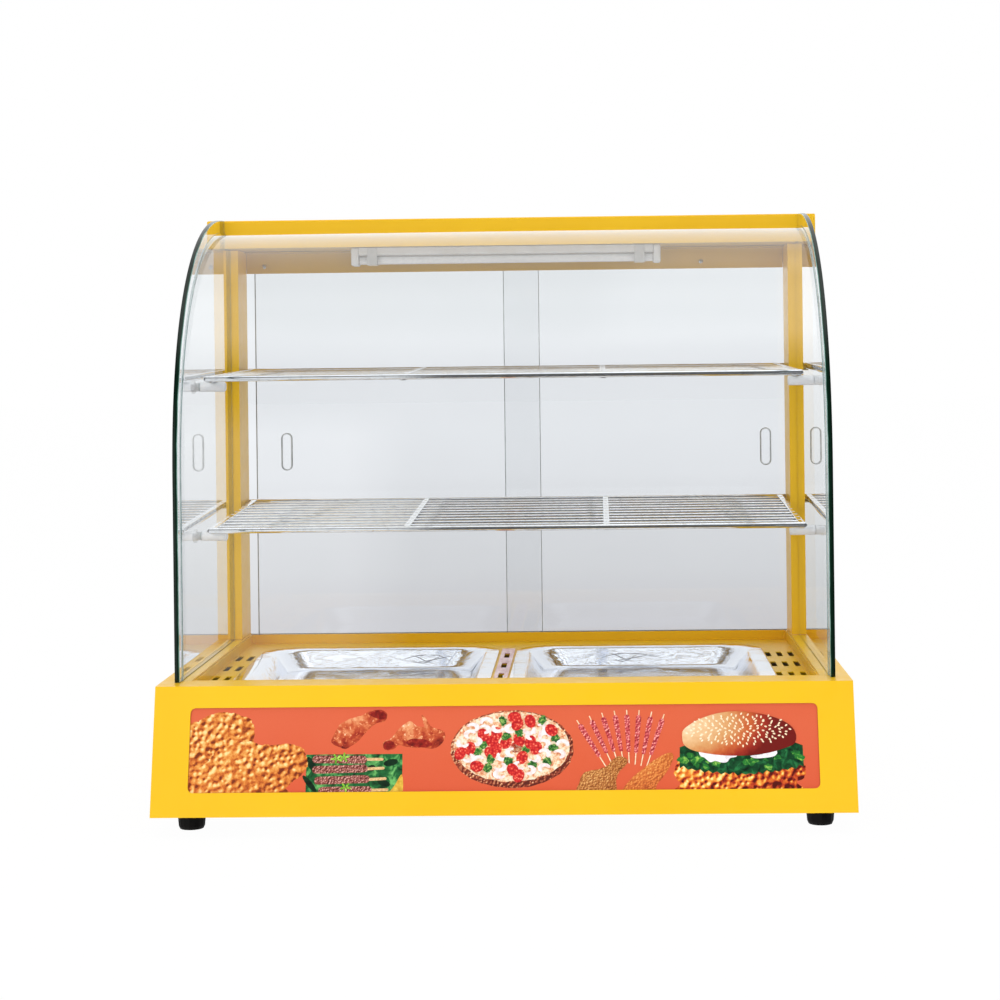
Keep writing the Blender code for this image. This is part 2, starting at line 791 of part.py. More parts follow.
def build_lamp():
    top = ROOF_BOTTOM - GAP
    left = LAMP_CENTRE_X - LAMP_HALF_LENGTH
    right = LAMP_CENTRE_X + LAMP_HALF_LENGTH
    end = 0.008
    box(
        "lamp_batten",
        (left + end + GAP, LAMP_Y - 0.011, top - 0.0085),
        (right - end - GAP, LAMP_Y + 0.011, top),
        "lamp_white",
        bevel=0.0015,
        bevel_only=lambda middle: abs(middle.x) < 0.05 and middle.z < 0.0,
    )
    for name, side, edge in (("left", -1, left), ("right", 1, right)):
        inner = edge - side * end
        span = sorted((edge, inner))
        box(
            f"lamp_end_{name}",
            (span[0], LAMP_Y - 0.012, top - 0.0195),
            (span[1], LAMP_Y + 0.012, top),
            "lamp_white",
            bevel=0.0015,
            bevel_only=lambda middle: True,
        )
    tube_z = top - 0.0135
    cylinder(
        "lamp_tube",
        (LAMP_CENTRE_X, LAMP_Y, tube_z),
        (1, 0, 0),
        0.0045,
        (right - left) - 2 * (end + GAP),
        "lamp_glow",
    )
    for name, side in (("left", -1), ("right", 1)):
        middle = LAMP_CENTRE_X + side * 0.146
        path = [
            (LAMP_Y - 0.0125, top - 0.0005),
            (LAMP_Y - 0.0125, tube_z - 0.0055),
            (LAMP_Y + 0.0125, tube_z - 0.0055),
            (LAMP_Y + 0.0125, top - 0.0005),
        ]
        ribbon(f"lamp_clip_{name}", path, "YZ", middle - 0.0055, middle + 0.0055, 0.0010, "clear_glass", 1.0)
    low = ROOF_BOTTOM + 2 * GAP + SHEET
    box(
        "lamp_driver",
        (0.050, 0.125, low),
        (0.180, 0.160, low + 0.020),
        "lamp_white",
        bevel=0.002,
    )


def build_heating():
    low = FOOT_HEIGHT + SHEET + 2 * GAP
    foot = low + SHEET
    path = [
        (-0.276, foot),
        (-0.262, foot),
        (-0.262, REFLECTOR_Z),
        (0.262, REFLECTOR_Z),
        (0.262, foot),
        (0.276, foot),
    ]
    ribbon("heat_reflector", path, "XZ", -0.118, 0.165, SHEET, "galvanised_steel", 1.0)
    rest_z = HEATER_Z - HEATER_RADIUS - GAP
    floor = REFLECTOR_Z + GAP
    for name, y in (("front", -0.060), ("rear", 0.090)):
        path = [
            (y - 0.014, floor),
            (y - 0.006, floor),
            (y - 0.006, rest_z - SHEET),
            (y + 0.006, rest_z - SHEET),
            (y + 0.006, floor),
            (y + 0.014, floor),
        ]
        ribbon(f"heater_bracket_{name}", path, "YZ", -0.250, 0.250, SHEET, "galvanised_steel", 1.0)
    pitch = 0.056
    front, rear = -0.075, 0.115
    for name, span in TRAY_SPANS_X.items():
        centre = sum(span) / 2
        points = [(centre - 1.5 * pitch, 0.160, HEATER_Z)]
        for bend in range(3):
            bend_x = centre + (bend - 1) * pitch
            ahead = bend % 2 == 0
            bend_y = front if ahead else rear
            for step in range(9):
                angle = math.pi * (1 - step / 8)
                away = math.sin(angle) * pitch / 2
                y = bend_y - away if ahead else bend_y + away
                points.append((bend_x + math.cos(angle) * pitch / 2, y, HEATER_Z))
        points.append((centre + 1.5 * pitch, 0.160, HEATER_Z))
        wire(f"heater_{name}", [points], HEATER_RADIUS, "heater_sheath")


def build_controls():
    low = FOOT_HEIGHT + SHEET + 2 * GAP
    high = TRACK_BASE_Z - GAP
    face = CONTROL_Y
    edge = REAR_Y - GAP
    sill = high - SHEET
    path = [(edge, low + SHEET), (face, low + SHEET), (face, sill), (edge, sill)]
    reach = HALF_W - BASE_GAUGE - GAP
    panel = ribbon("rear_panel", path, "YZ", -reach, reach, SHEET, "yellow_paint", 1.0)
    holes = [slot_outline(-0.160 + 0.016 * index, CONTROL_Z, 0.005, 0.044) for index in range(12)]
    for x in SWITCHES_X.values():
        holes.append(rounded_rectangle(x - 0.0095, x + 0.0095, CONTROL_Z - 0.0135, CONTROL_Z + 0.0135, 0.001, 1))
    for x, radius in ((KNOB_X, 0.0045), (PILOT_X, 0.0055), (GLAND_X, 0.0082)):
        holes.append(rounded_rectangle(x - radius, x + radius, CONTROL_Z - radius, CONTROL_Z + radius, radius * 0.98, 4))
    combine(panel, to_mesh(plate("panel_holes", holes, "XZ", face - 0.010, face + 0.010)))

    inner = face - SHEET - GAP
    body = box(
        "thermostat_body",
        (KNOB_X - 0.017, inner - 0.030, CONTROL_Z - 0.017),
        (KNOB_X + 0.017, inner, CONTROL_Z + 0.017),
        "beige_plastic",
        bevel=0.002,
    )
    shaft_hole = cylinder("shaft_hole", (KNOB_X, inner, CONTROL_Z), (0, 1, 0), 0.0036, 0.020)
    combine(body, shaft_hole)
    build_knob(inner)
    for name, x in SWITCHES_X.items():
        build_switch(name, x)

    lens = [
        (0.0, 0.0080),
        (0.0030, 0.0072),
        (0.0055, 0.0045),
        (0.0060, 0.0020),
        (0.0072, 0.0018),
        (0.0072, 0.0),
        (0.0050, 0.0),
        (0.0050, -0.018),
        (0.0, -0.018),
    ]
    pilot = turned("pilot_lamp", lens, "red_plastic")
    pilot.location = (PILOT_X, face + GAP, CONTROL_Z)
    pilot.rotation_euler = (-math.pi / 2, 0.0, 0.0)

    gland = turned(
        "cord_gland",
        [
            (0.0045, 0.0150),
            (0.0075, 0.0150),
            (0.0090, 0.0115),
            (0.0110, 0.0100),
            (0.0110, 0.0),
            (0.0078, 0.0),
            (0.0078, -0.0140),
            (0.0045, -0.0140),
            (0.0045, 0.0150),
        ],
        "black_plastic",
    )
    gland.location = (GLAND_X, face + GAP, CONTROL_Z)
    gland.rotation_euler = (-math.pi / 2, 0.0, 0.0)

    block = box(
        "terminal_block",
        (GLAND_X - 0.022, 0.170, low),
        (GLAND_X + 0.022, 0.187, low + 0.016),
        "beige_plastic",
        bevel=0.001,
    )
    slots = []
    for index in range(3):
        x = GLAND_X + (index - 1) * 0.013
        slots.append(rounded_rectangle(x - 0.004, x + 0.004, 0.160, 0.174, 0.0005, 1))
    combine(block, to_mesh(plate("terminal_mouths", slots, "XY", low + 0.004, low + 0.012)))


def build_knob(inner):
    """The knob's origin is on its turning axis, and its pointer starts upright."""
    profile = [
        (0.0, 0.0175),
        (0.0135, 0.0175),
        (0.0150, 0.0160),
        (0.0160, 0.0040),
        (0.0195, 0.0025),
        (0.0195, 0.0015),
        (0.0030, 0.0015),
        (0.0030, inner - CONTROL_Y - 0.008),
        (0.0, inner - CONTROL_Y - 0.008),
    ]
    knob = turned("thermostat_knob", profile, "black_plastic", steps=24)
    knob.location = (KNOB_X, CONTROL_Y, CONTROL_Z)
    knob.rotation_euler = (-math.pi / 2, 0.0, 0.0)
    pointer = box(
        "knob_pointer",
        (KNOB_X - 0.0016, CONTROL_Y + 0.0100, CONTROL_Z + 0.004),
        (KNOB_X + 0.0016, CONTROL_Y + 0.0190, CONTROL_Z + 0.0165),
    )
    combine(knob, pointer, "UNION")


def build_switch(name, x):
    face = CONTROL_Y + GAP
    housing = box(
        f"{name}_switch_housing",
        (x - 0.0090, face - 0.020, CONTROL_Z - 0.0130),
        (x + 0.0090, face + 0.0020, CONTROL_Z + 0.0130),
        "black_plastic",
    )
    bezel = box(
        f"{name}_bezel",
        (x - 0.0115, face, CONTROL_Z - 0.0155),
        (x + 0.0115, face + 0.0020, CONTROL_Z + 0.0155),
    )
    combine(housing, bezel, "UNION")
    pocket = box(
        f"{name}_pocket",
        (x - 0.0070, face - 0.0080, CONTROL_Z - 0.0112),
        (x + 0.0070, face + 0.0100, CONTROL_Z + 0.0112),
    )
    combine(housing, pocket)
    pivot = bpy.data.objects.new(f"{name}_pivot", None)
    PARTS.objects.link(pivot)
    pivot.location = (x, face - 0.0010, CONTROL_Z)
    pivot.rotation_euler = (ROCKER_TILT, 0.0, 0.0)
    profile = [
        (-0.0040, -0.0040),
        (-0.0040, 0.0040),
        (0.0000, 0.0102),
        (0.0058, 0.0100),
        (0.0036, 0.0),
        (0.0058, -0.0100),
        (0.0000, -0.0102),
    ]
    slot = "red_plastic" if name == "heat" else "black_plastic"
    rocker = plate(f"{name}_switch_rocker", [profile], "YZ", -0.0066, 0.0066, slot)
    rocker.parent = pivot


build_base()
build_feet()
build_deck()
build_trays()
build_glass()
build_pegs()
build_shelves()
build_hooks()
build_rear_frame()
build_doors()
build_lamp()
build_heating()
build_controls()
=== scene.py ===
"""Looks of the countertop hot food display case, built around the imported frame.

Units are metres. X runs to the customer's right, Y to the back, where the server stands,
and Z runs up from the counter, as in the frame.
"""

import math
import random

import bmesh
import bpy
from mathutils import Matrix, Vector
from mathutils.geometry import tessellate_polygon


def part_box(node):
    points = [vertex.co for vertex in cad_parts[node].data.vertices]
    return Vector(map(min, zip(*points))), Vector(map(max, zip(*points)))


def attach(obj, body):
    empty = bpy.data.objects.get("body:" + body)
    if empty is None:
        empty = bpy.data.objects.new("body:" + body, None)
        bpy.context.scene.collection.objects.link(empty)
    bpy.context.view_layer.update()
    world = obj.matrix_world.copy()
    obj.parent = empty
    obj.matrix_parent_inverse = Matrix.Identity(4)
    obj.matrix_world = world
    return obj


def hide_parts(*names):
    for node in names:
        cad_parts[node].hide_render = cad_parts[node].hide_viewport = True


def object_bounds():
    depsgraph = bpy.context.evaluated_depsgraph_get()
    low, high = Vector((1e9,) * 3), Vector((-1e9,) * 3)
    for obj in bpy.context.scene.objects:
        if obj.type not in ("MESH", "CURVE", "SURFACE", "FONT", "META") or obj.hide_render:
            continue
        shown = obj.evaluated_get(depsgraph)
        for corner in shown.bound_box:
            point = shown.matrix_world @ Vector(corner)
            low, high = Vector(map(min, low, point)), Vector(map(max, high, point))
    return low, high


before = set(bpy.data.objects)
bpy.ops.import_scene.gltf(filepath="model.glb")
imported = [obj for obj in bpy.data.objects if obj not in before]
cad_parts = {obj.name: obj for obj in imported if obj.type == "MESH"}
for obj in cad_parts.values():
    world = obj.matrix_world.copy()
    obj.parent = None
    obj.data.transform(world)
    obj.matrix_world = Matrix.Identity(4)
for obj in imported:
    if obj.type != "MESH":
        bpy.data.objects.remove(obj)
CAD_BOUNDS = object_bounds()

MM = 0.001
GAP = 0.3 * MM

# The side glass's front edge is upright, then follows a superellipse to the roof.
CURVE_START_Z = 0.330
CURVE_RUN = 0.285
CURVE_POWER = 2.2
CURVE_STEPS = 72
FRONT_GLASS_INSET = 0.0105
FRONT_GLASS_SINK = 0.28
PANE = 0.005

# The base: its front leans back by this much for each unit of height.
FOOT_HEIGHT = 0.019
FRONT_BOTTOM_Y = -0.225
FRONT_LEAN = 0.2771
INSIDE_HALF_WIDTH = 0.3283
INSIDE_TOP_Z = 0.1234
INSIDE_REAR_Y = 0.1985
SHEET_GAUGE = 0.0012

SIDES = ("left", "right")


# ---------------------------------------------------------------- material helpers


def linear(red, green, blue):
    """Linear colour from 0 to 255 screen values."""
    values = []
    for value in (red, green, blue):
        share = value / 255
        values.append(share / 12.92 if share <= 0.04045 else ((share + 0.055) / 1.055) ** 2.4)
    return tuple(values)


class Nodes:
    """A node tree. Each method adds a node and returns its output."""

    def __init__(self, tree):
        self.tree = tree

    def add(self, kind, inputs=None, **settings):
        node = self.tree.nodes.new(kind)
        for key, value in settings.items():
            setattr(node, key, value)
        for key, value in (inputs or {}).items():
            self.feed(node.inputs[key], value)
        return node

    def feed(self, socket, value):
        if isinstance(value, bpy.types.NodeSocket):
            self.tree.links.new(value, socket)
        elif socket.type == "RGBA" and len(value) == 3:
            socket.default_value = (*value, 1.0)
        else:
            socket.default_value = value

    def span(self, value, low, high, to_low=0.0, to_high=1.0):
        inputs = {"Value": value, "From Min": low, "From Max": high, "To Min": to_low, "To Max": to_high}
        return self.add("ShaderNodeMapRange", inputs, clamp=True).outputs["Result"]

    def blend(self, share, first, second):
        inputs = {0: share, 6: first, 7: second}
        return self.add("ShaderNodeMix", inputs, data_type="RGBA").outputs[2]

    def math(self, operation, first, *others):
        """Works through the values from the left."""
        for other in others or (0.0,):
            first = self.add("ShaderNodeMath", {0: first, 1: other}, operation=operation).outputs[0]
        return first

    def vectors(self, operation, first, second):
        return self.add("ShaderNodeVectorMath", {0: first, 1: second}, operation=operation).outputs[0]

    def mix(self, share, first, second):
        return self.add("ShaderNodeMixShader", {0: share, 1: first, 2: second}).outputs[0]


class Look(Nodes):
    """A procedural material."""

    def __init__(self, name):
        self.material = bpy.data.materials.new(name)
        self.material.use_nodes = True
        super().__init__(self.material.node_tree)
        self.shader = self.tree.nodes["Principled BSDF"]
        self.place = self.add("ShaderNodeTexCoord").outputs["Object"]

    def set(self, **sockets):
        """Feeds the Principled shader: Base_Color stands for Base Color, and so on."""
        for key, value in sockets.items():
            self.feed(self.shader.inputs[key.replace("_", " ")], value)

    def noise(self, scale, detail=3.0, roughness=0.5, distortion=0.0, place=None, stretch=None):
        place = place or self.place
        if stretch:
            place = self.add("ShaderNodeMapping", {"Vector": place, "Scale": stretch}).outputs["Vector"]
        inputs = {"Vector": place, "Scale": scale, "Detail": detail}
        inputs |= {"Roughness": roughness, "Distortion": distortion}
        return self.add("ShaderNodeTexNoise", inputs).outputs["Fac"]

    def cells(self, scale, place, feature="F1", output="Distance"):
        inputs = {"Vector": place, "Scale": scale}
        return self.add("ShaderNodeTexVoronoi", inputs, feature=feature).outputs[output]

    def ramp(self, value, *stops):
        """Colour by value. A stop is a position and a linear colour, or a position and screen values."""
        node = self.add("ShaderNodeValToRGB", {"Fac": value})
        points = node.color_ramp.elements
        while len(points) < len(stops):
            points.new(0.5)
        for point, (position, *colour) in zip(points, stops):
            point.position = position
            point.color = (*(colour[0] if len(colour) == 1 else linear(*colour)), 1.0)
        return node.outputs["Color"]

    def axis(self, letter):
        return self.add("ShaderNodeSeparateXYZ", {"Vector": self.place}).outputs[letter]

    def warped(self, scale, amount):
        """Coordinates pushed about by noise, so that cells lose their straight sides."""
        push = self.add("ShaderNodeTexNoise", {"Vector": self.place, "Scale": scale, "Detail": 2.0})
        centred = self.vectors("SUBTRACT", push.outputs["Color"], (0.5, 0.5, 0.5))
        scaled = self.add("ShaderNodeVectorMath", {0: centred, "Scale": amount}, operation="SCALE")
        return self.vectors("ADD", self.place, scaled.outputs[0])

    def bump(self, height, distance, strength=1.0):
        inputs = {"Height": height, "Distance": distance, "Strength": strength}
        self.set(Normal=self.add("ShaderNodeBump", inputs).outputs["Normal"])


# ---------------------------------------------------------------- materials


def painted_shade_inside_base(look):
    """One on the faces shut inside the base, which get a near black colour as painted shade, zero everywhere
    else.
    """
    x, y, z = (look.axis(letter) for letter in "XYZ")
    across = look.math("LESS_THAN", look.math("ABSOLUTE", x), INSIDE_HALF_WIDTH)
    under = look.math("LESS_THAN", z, INSIDE_TOP_Z)
    before = look.math("LESS_THAN", y, INSIDE_REAR_Y)
    leaning = look.math("MULTIPLY", look.math("SUBTRACT", z, FOOT_HEIGHT), FRONT_LEAN)
    front = look.math("ADD", leaning, FRONT_BOTTOM_Y + SHEET_GAUGE)
    return look.math("MULTIPLY", across, under, before, look.math("GREATER_THAN", y, front))


def yellow_paint(name, depth=1.0, gloss=0.40):
    """Gold yellow powder coat. Depth darkens it; on the roof liner and header rail this is painted shade, as
    they sit in shade under the roof.
    """
    look = Look(name)
    lean = tuple(depth * value for value in (0.850, 0.490, 0.004))
    rich = tuple(depth * value for value in (0.890, 0.535, 0.007))
    colour = look.ramp(look.noise(6.0, 3.0), (0.30, lean), (0.72, rich))
    # Faces shut inside the base are coloured near black: painted shade, as little light gets in there.
    look.set(
        Base_Color=look.blend(painted_shade_inside_base(look), colour, (0.020, 0.014, 0.004)),
        Roughness=look.span(look.noise(90.0, 4.0), 0.3, 0.7, 0.30, 0.40),
        Specular_IOR_Level=gloss,
    )
    look.bump(look.noise(1400.0, 2.0), 0.00008, 0.35)
    return look.material


def picture_ground():
    """The orange ground of the printed picture, a little lighter towards the top."""
    look = Look("picture_print")
    height = look.span(look.axis("Z"), 0.020, 0.102)
    colour = look.blend(height, linear(212, 84, 50), linear(217, 97, 63))
    grain = look.math("MULTIPLY", look.span(look.noise(1800.0, 1.0), 0.3, 0.7), 0.06)
    look.set(
        Base_Color=look.blend(grain, colour, (0.95, 0.30, 0.14)),
        Roughness=look.span(look.noise(40.0, 2.0), 0.3, 0.7, 0.28, 0.38),
        Specular_IOR_Level=0.35,
    )
    look.bump(look.noise(25.0, 2.0), 0.0006, 0.12)
    return look.material


# Each surface follows one noise, the grain, which sets its colour by the stops and its roughness
# by a span. Relief is the bump's own noise where it has one, and depth the bump's two numbers.
SURFACES = {
    "black_rubber": {
        "grain": {"scale": 120.0, "detail": 4.0},
        "stops": ((0.45, (0.003, 0.0025, 0.0025)), (0.80, (0.008, 0.007, 0.006))),
        "roughness": (0.45, 0.80, 0.62, 0.85),
        "relief": {"scale": 700.0}, "depth": (0.0002, 0.5), "Specular_IOR_Level": 0.25,
    },
    "tray_steel": {
        "grain": {"scale": 14.0, "detail": 4.0, "roughness": 0.6, "distortion": 1.0},
        "stops": ((0.35, (0.84, 0.86, 0.92)), (0.75, (0.92, 0.94, 0.99))),
        "roughness": (0.35, 0.75, 0.05, 0.13),
        "relief": {"scale": 1.0, "distortion": 1.6, "stretch": (16.0, 60.0, 60.0)},
        "depth": (0.0016, 0.30), "Metallic": 1.0,
    },
    "tray_film": {
        "grain": {"scale": 300.0, "detail": 2.0},
        "stops": ((0.3, (0.60, 0.63, 0.70)), (0.7, (0.86, 0.88, 0.94))),
        "roughness": (0.3, 0.7, 0.10, 0.22), "depth": (0.0001, 0.3), "Metallic": 0.6,
    },
    "divider_film": {
        "grain": {"scale": 1.0, "detail": 4.0, "roughness": 0.6, "stretch": (160.0, 45.0, 100.0)},
        "stops": ((0.30, 196, 120, 124), (0.50, 226, 168, 174), (0.72, 246, 214, 214)),
        "roughness": 0.32, "depth": (0.0010, 0.5), "Coat_Weight": 0.5, "Coat_Roughness": 0.12,
    },
    "aluminium_track": {
        "grain": {"scale": 1.0, "detail": 2.0, "stretch": (8.0, 2400.0, 2400.0)},
        "stops": ((0.2, (0.62, 0.63, 0.64)), (0.8, (0.80, 0.81, 0.82))),
        "roughness": (0.2, 0.8, 0.24, 0.40), "depth": (0.0001, 0.4), "Metallic": 1.0,
    },
    "chrome_wire": {
        "grain": {"scale": 220.0, "detail": 4.0, "roughness": 0.6},
        "stops": ((0.5, (0.90, 0.91, 0.93)), (0.8, (0.72, 0.73, 0.76))),
        "roughness": (0.5, 0.8, 0.07, 0.20),
        "relief": {"scale": 500.0, "detail": 2.0}, "depth": (0.0001, 0.2), "Metallic": 1.0,
    },
    "white_nylon": {
        "grain": {"scale": 150.0},
        "stops": ((0.3, (0.80, 0.82, 0.85)), (0.7, (0.90, 0.91, 0.92))),
        "roughness": 0.38,
        "relief": {"scale": 900.0, "detail": 2.0}, "depth": (0.0001, 0.2),
        "Subsurface_Weight": 0.15, "Subsurface_Radius": (0.003, 0.003, 0.003),
    },
    "gold_zinc": {
        "grain": {"scale": 160.0, "detail": 2.0, "distortion": 1.5},
        "stops": (
            (0.30, (0.80, 0.52, 0.16)), (0.50, (0.88, 0.72, 0.34)),
            (0.62, (0.62, 0.66, 0.40)), (0.76, (0.80, 0.48, 0.36)),
        ),
        "roughness": (0.2, 0.8, 0.22, 0.38),
        "relief": {"scale": 900.0}, "depth": (0.0001, 0.3), "Metallic": 1.0,
    },
    "bright_steel": {
        "grain": {"scale": 1.0, "stretch": (500.0, 900.0, 900.0)},
        "stops": ((0.2, (0.52, 0.53, 0.54)), (0.8, (0.74, 0.75, 0.76))),
        "roughness": (0.2, 0.8, 0.18, 0.34), "depth": (0.0001, 0.3), "Metallic": 1.0,
    },
    "lamp_white": {
        "grain": {"scale": 60.0},
        # The lamp's white is toned down to a mid grey: painted shade, as it sits in shade under the roof.
        "stops": ((0.4, (0.64, 0.64, 0.64)), (0.75, (0.58, 0.57, 0.54))),
        "roughness": (0.4, 0.75, 0.30, 0.42),
        "relief": {"scale": 1100.0, "detail": 2.0}, "depth": (0.0001, 0.2),
    },
    "lamp_glow": {
        "grain": {"scale": 260.0, "detail": 4.0},
        "stops": ((0.3, (0.66, 0.66, 0.66)), (0.7, (0.74, 0.73, 0.72))),
        "roughness": 0.16,
        "relief": {"scale": 300.0, "detail": 1.0}, "depth": (0.0001, 0.15),
        "Emission_Color": (1.0, 0.98, 0.95), "Emission_Strength": 0.02,
        "Coat_Weight": 0.6, "Coat_Roughness": 0.05,
    },
    "heater_sheath": {
        "grain": {"scale": 45.0, "distortion": 0.8},
        "stops": ((0.30, (0.10, 0.10, 0.11)), (0.50, (0.20, 0.16, 0.13)), (0.70, (0.16, 0.16, 0.22))),
        "roughness": (0.2, 0.8, 0.38, 0.6),
        "relief": {"scale": 800.0}, "depth": (0.0001, 0.4), "Metallic": 0.9,
    },
    "pale_glass_edge": {
        "grain": {"scale": 60.0},
        "stops": ((0.3, 120, 150, 152), (0.7, 176, 200, 200)),
        "roughness": 0.2,
        "relief": {"scale": 400.0, "detail": 2.0}, "depth": (0.0001, 0.3),
        "Specular_IOR_Level": 0.6, "Coat_Weight": 0.5, "Coat_Roughness": 0.05,
    },
    "door_edge": {
        "grain": {"scale": 90.0},
        "stops": ((0.3, 120, 128, 130), (0.7, 176, 182, 184)),
        "roughness": 0.35,
        "relief": {"scale": 400.0, "detail": 2.0}, "depth": (0.0001, 0.3),
        "Specular_IOR_Level": 0.5,
    },
}


def surface(name, grain, stops, roughness, depth, relief=None, **sockets):
    look = Look(name)
    value = look.noise(**grain)
    rough = look.span(value, *roughness) if isinstance(roughness, tuple) else roughness
    look.set(Base_Color=look.ramp(value, *stops), Roughness=rough, **sockets)
    look.bump(look.noise(**relief) if relief else value, *depth)
    return look.material


def galvanised_steel():
    look = Look("galvanised_steel")
    spangle = look.cells(70.0, look.warped(40.0, 0.01), output="Color")
    grey = look.ramp(spangle, (0.1, (0.42, 0.44, 0.46)), (0.9, (0.66, 0.68, 0.70)))
    look.set(Base_Color=grey, Metallic=1.0, Roughness=look.span(spangle, 0.0, 1.0, 0.30, 0.52))
    look.bump(look.noise(500.0, 3.0), 0.0001, 0.3)
    return look.material


# Each plastic's two tones, its least roughness and the weight of its gloss coat.
PLASTICS = {
    "black_plastic": ((0.014, 0.014, 0.016), (0.03, 0.03, 0.032), 0.32, 0.0),
    "red_plastic": ((0.55, 0.02, 0.015), (0.64, 0.04, 0.02), 0.22, 0.5),
    "beige_plastic": ((0.60, 0.54, 0.42), (0.68, 0.63, 0.52), 0.42, 0.0),
    "clip_plastic": ((0.50, 0.50, 0.49), (0.60, 0.60, 0.59), 0.16, 0.6),
    "dial_print": ((0.012, 0.012, 0.013), (0.03, 0.03, 0.03), 0.40, 0.0),
}


def moulded_plastic(name, dark, light, roughness, coat):
    look = Look(name)
    grain = look.noise(1300.0, 2.0)
    wear = look.span(look.noise(80.0, 4.0), 0.45, 0.8)
    rough = look.span(grain, 0.3, 0.7, roughness, roughness + 0.12)
    look.set(Base_Color=look.blend(wear, dark, light), Roughness=rough)
    look.set(Coat_Weight=coat, Coat_Roughness=0.1)
    look.bump(grain, 0.0001, 0.4)
    return look.material


# Each pane's tint and how strongly its near face mirrors.
PANES = {
    "clear_glass": ((0.960, 0.972, 0.978), 1.6),
    "door_glass": ((0.975, 0.980, 0.984), 1.0),
    "curved_glass": ((0.930, 0.950, 0.960), 1.6),
}


def pane_glass(name, tint, mirror_gain):
    """Glass seen straight through. Its near face mirrors by Fresnel, and lamps shine through it."""
    look = Look(name)
    look.tree.nodes.remove(look.shader)
    smears = look.span(look.noise(7.0, 4.0, 0.6), 0.35, 0.75)
    tinted = look.blend(smears, tint, tuple(0.985 * value for value in tint))
    clear = look.add("ShaderNodeBsdfTransparent", {"Color": tinted}).outputs[0]
    inside = look.add("ShaderNodeBsdfTransparent", {"Color": (1.0, 1.0, 1.0)}).outputs[0]
    mirror = look.add("ShaderNodeBsdfGlossy", {"Color": (1.0, 1.0, 1.0), "Roughness": 0.015}).outputs[0]
    fresnel = look.add("ShaderNodeFresnel", {"IOR": 1.52}).outputs["Fac"]
    share = look.math("MINIMUM", look.math("MULTIPLY", fresnel, mirror_gain), 1.0)
    behind = look.add("ShaderNodeNewGeometry").outputs["Backfacing"]
    both = look.mix(behind, look.mix(share, clear, mirror), inside)
    lamp_ray = look.add("ShaderNodeLightPath").outputs["Is Shadow Ray"]
    out = look.tree.nodes["Material Output"]
    look.feed(out.inputs["Surface"], look.mix(lamp_ray, both, inside))
    return look.material


def glass_edge():
    """The polished edge of a side pane: near black green outside, its own colour, and pale green inside, a
    painted highlight.
    """
    look = Look("glass_edge")
    across = look.math("ABSOLUTE", look.axis("X"))
    ripple = look.span(look.noise(35.0, 3.0), 0.3, 0.7, -0.0003, 0.0003)
    place = look.math("ADD", across, ripple)
    # Near black green is the edge's own colour; the pale green along the inner face is a painted highlight.
    colour = look.ramp(
        look.span(place, 0.3110, 0.3160),
        (0.02, 158, 188, 184), (0.12, 70, 112, 100), (0.22, 2, 34, 20), (1.00, 0, 12, 7),
    )
    look.set(Base_Color=colour, Roughness=0.16, Specular_IOR_Level=0.3)
    look.bump(look.noise(260.0, 2.0), 0.0002, 0.2)
    return look.material


def make_materials():
    made = {
        "yellow_paint": yellow_paint("yellow_paint"),
        "deck_paint": yellow_paint("deck_paint", 0.95, 0.12),
        # The same paint darkened as painted shade, for the roof liner and header rail in shade under the
        # roof.
        "shaded_paint": yellow_paint("shaded_paint", 0.62),
        "picture_print": picture_ground(),
        "galvanised_steel": galvanised_steel(),
        "glass_edge": glass_edge(),
    }
    made |= {name: surface(name, **recipe) for name, recipe in SURFACES.items()}
    made |= {name: moulded_plastic(name, *recipe) for name, recipe in PLASTICS.items()}
    made |= {name: pane_glass(name, *recipe) for name, recipe in PANES.items()}
    return made


# ---------------------------------------------------------------- mesh helpers


def smooth_by_angle(mesh, degrees=35.0):
    mesh.shade_smooth()
    mesh.set_sharp_from_angle(angle=math.radians(degrees))


def add_piece(name, mesh, body, materials, replaced=(), matrix=None):
    """Puts a finished mesh in the scene and says what it rides on and stands for."""
    piece = bpy.data.objects.new(name, mesh)
    bpy.context.scene.collection.objects.link(piece)
    if matrix is not None:
        piece.matrix_world = matrix
    for material in materials:
        mesh.materials.append(material)
    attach(piece, body)
    if replaced:
        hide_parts(*replaced)
    return piece


def mesh_from(bm, name, degrees=None):
    """Ends the bmesh. With an angle, the mesh is smooth but for edges sharper than that."""
    bmesh.ops.recalc_face_normals(bm, faces=bm.faces)
    mesh = bpy.data.meshes.new(name)
    bm.to_mesh(mesh)
    bm.free()
    if degrees:
        smooth_by_angle(mesh, degrees)
    return mesh


def curve_mesh(data):
    """The mesh of a curve or a text, which is then removed."""
    holder = bpy.data.objects.new(data.name, data)
    bpy.context.scene.collection.objects.link(holder)
    graph = bpy.context.evaluated_depsgraph_get()
    mesh = bpy.data.meshes.new_from_object(holder.evaluated_get(graph))
    bpy.data.objects.remove(holder, do_unlink=True)
    bpy.data.curves.remove(data)
    mesh.materials.clear()
    return mesh


PLANES = {
    "XY": Matrix.Identity(4),
    "XZ": Matrix.Rotation(math.pi / 2, 4, "X"),
    "YZ": Matrix(((0, 0, 1, 0), (1, 0, 0, 0), (0, 1, 0, 0), (0, 0, 0, 1))),
}


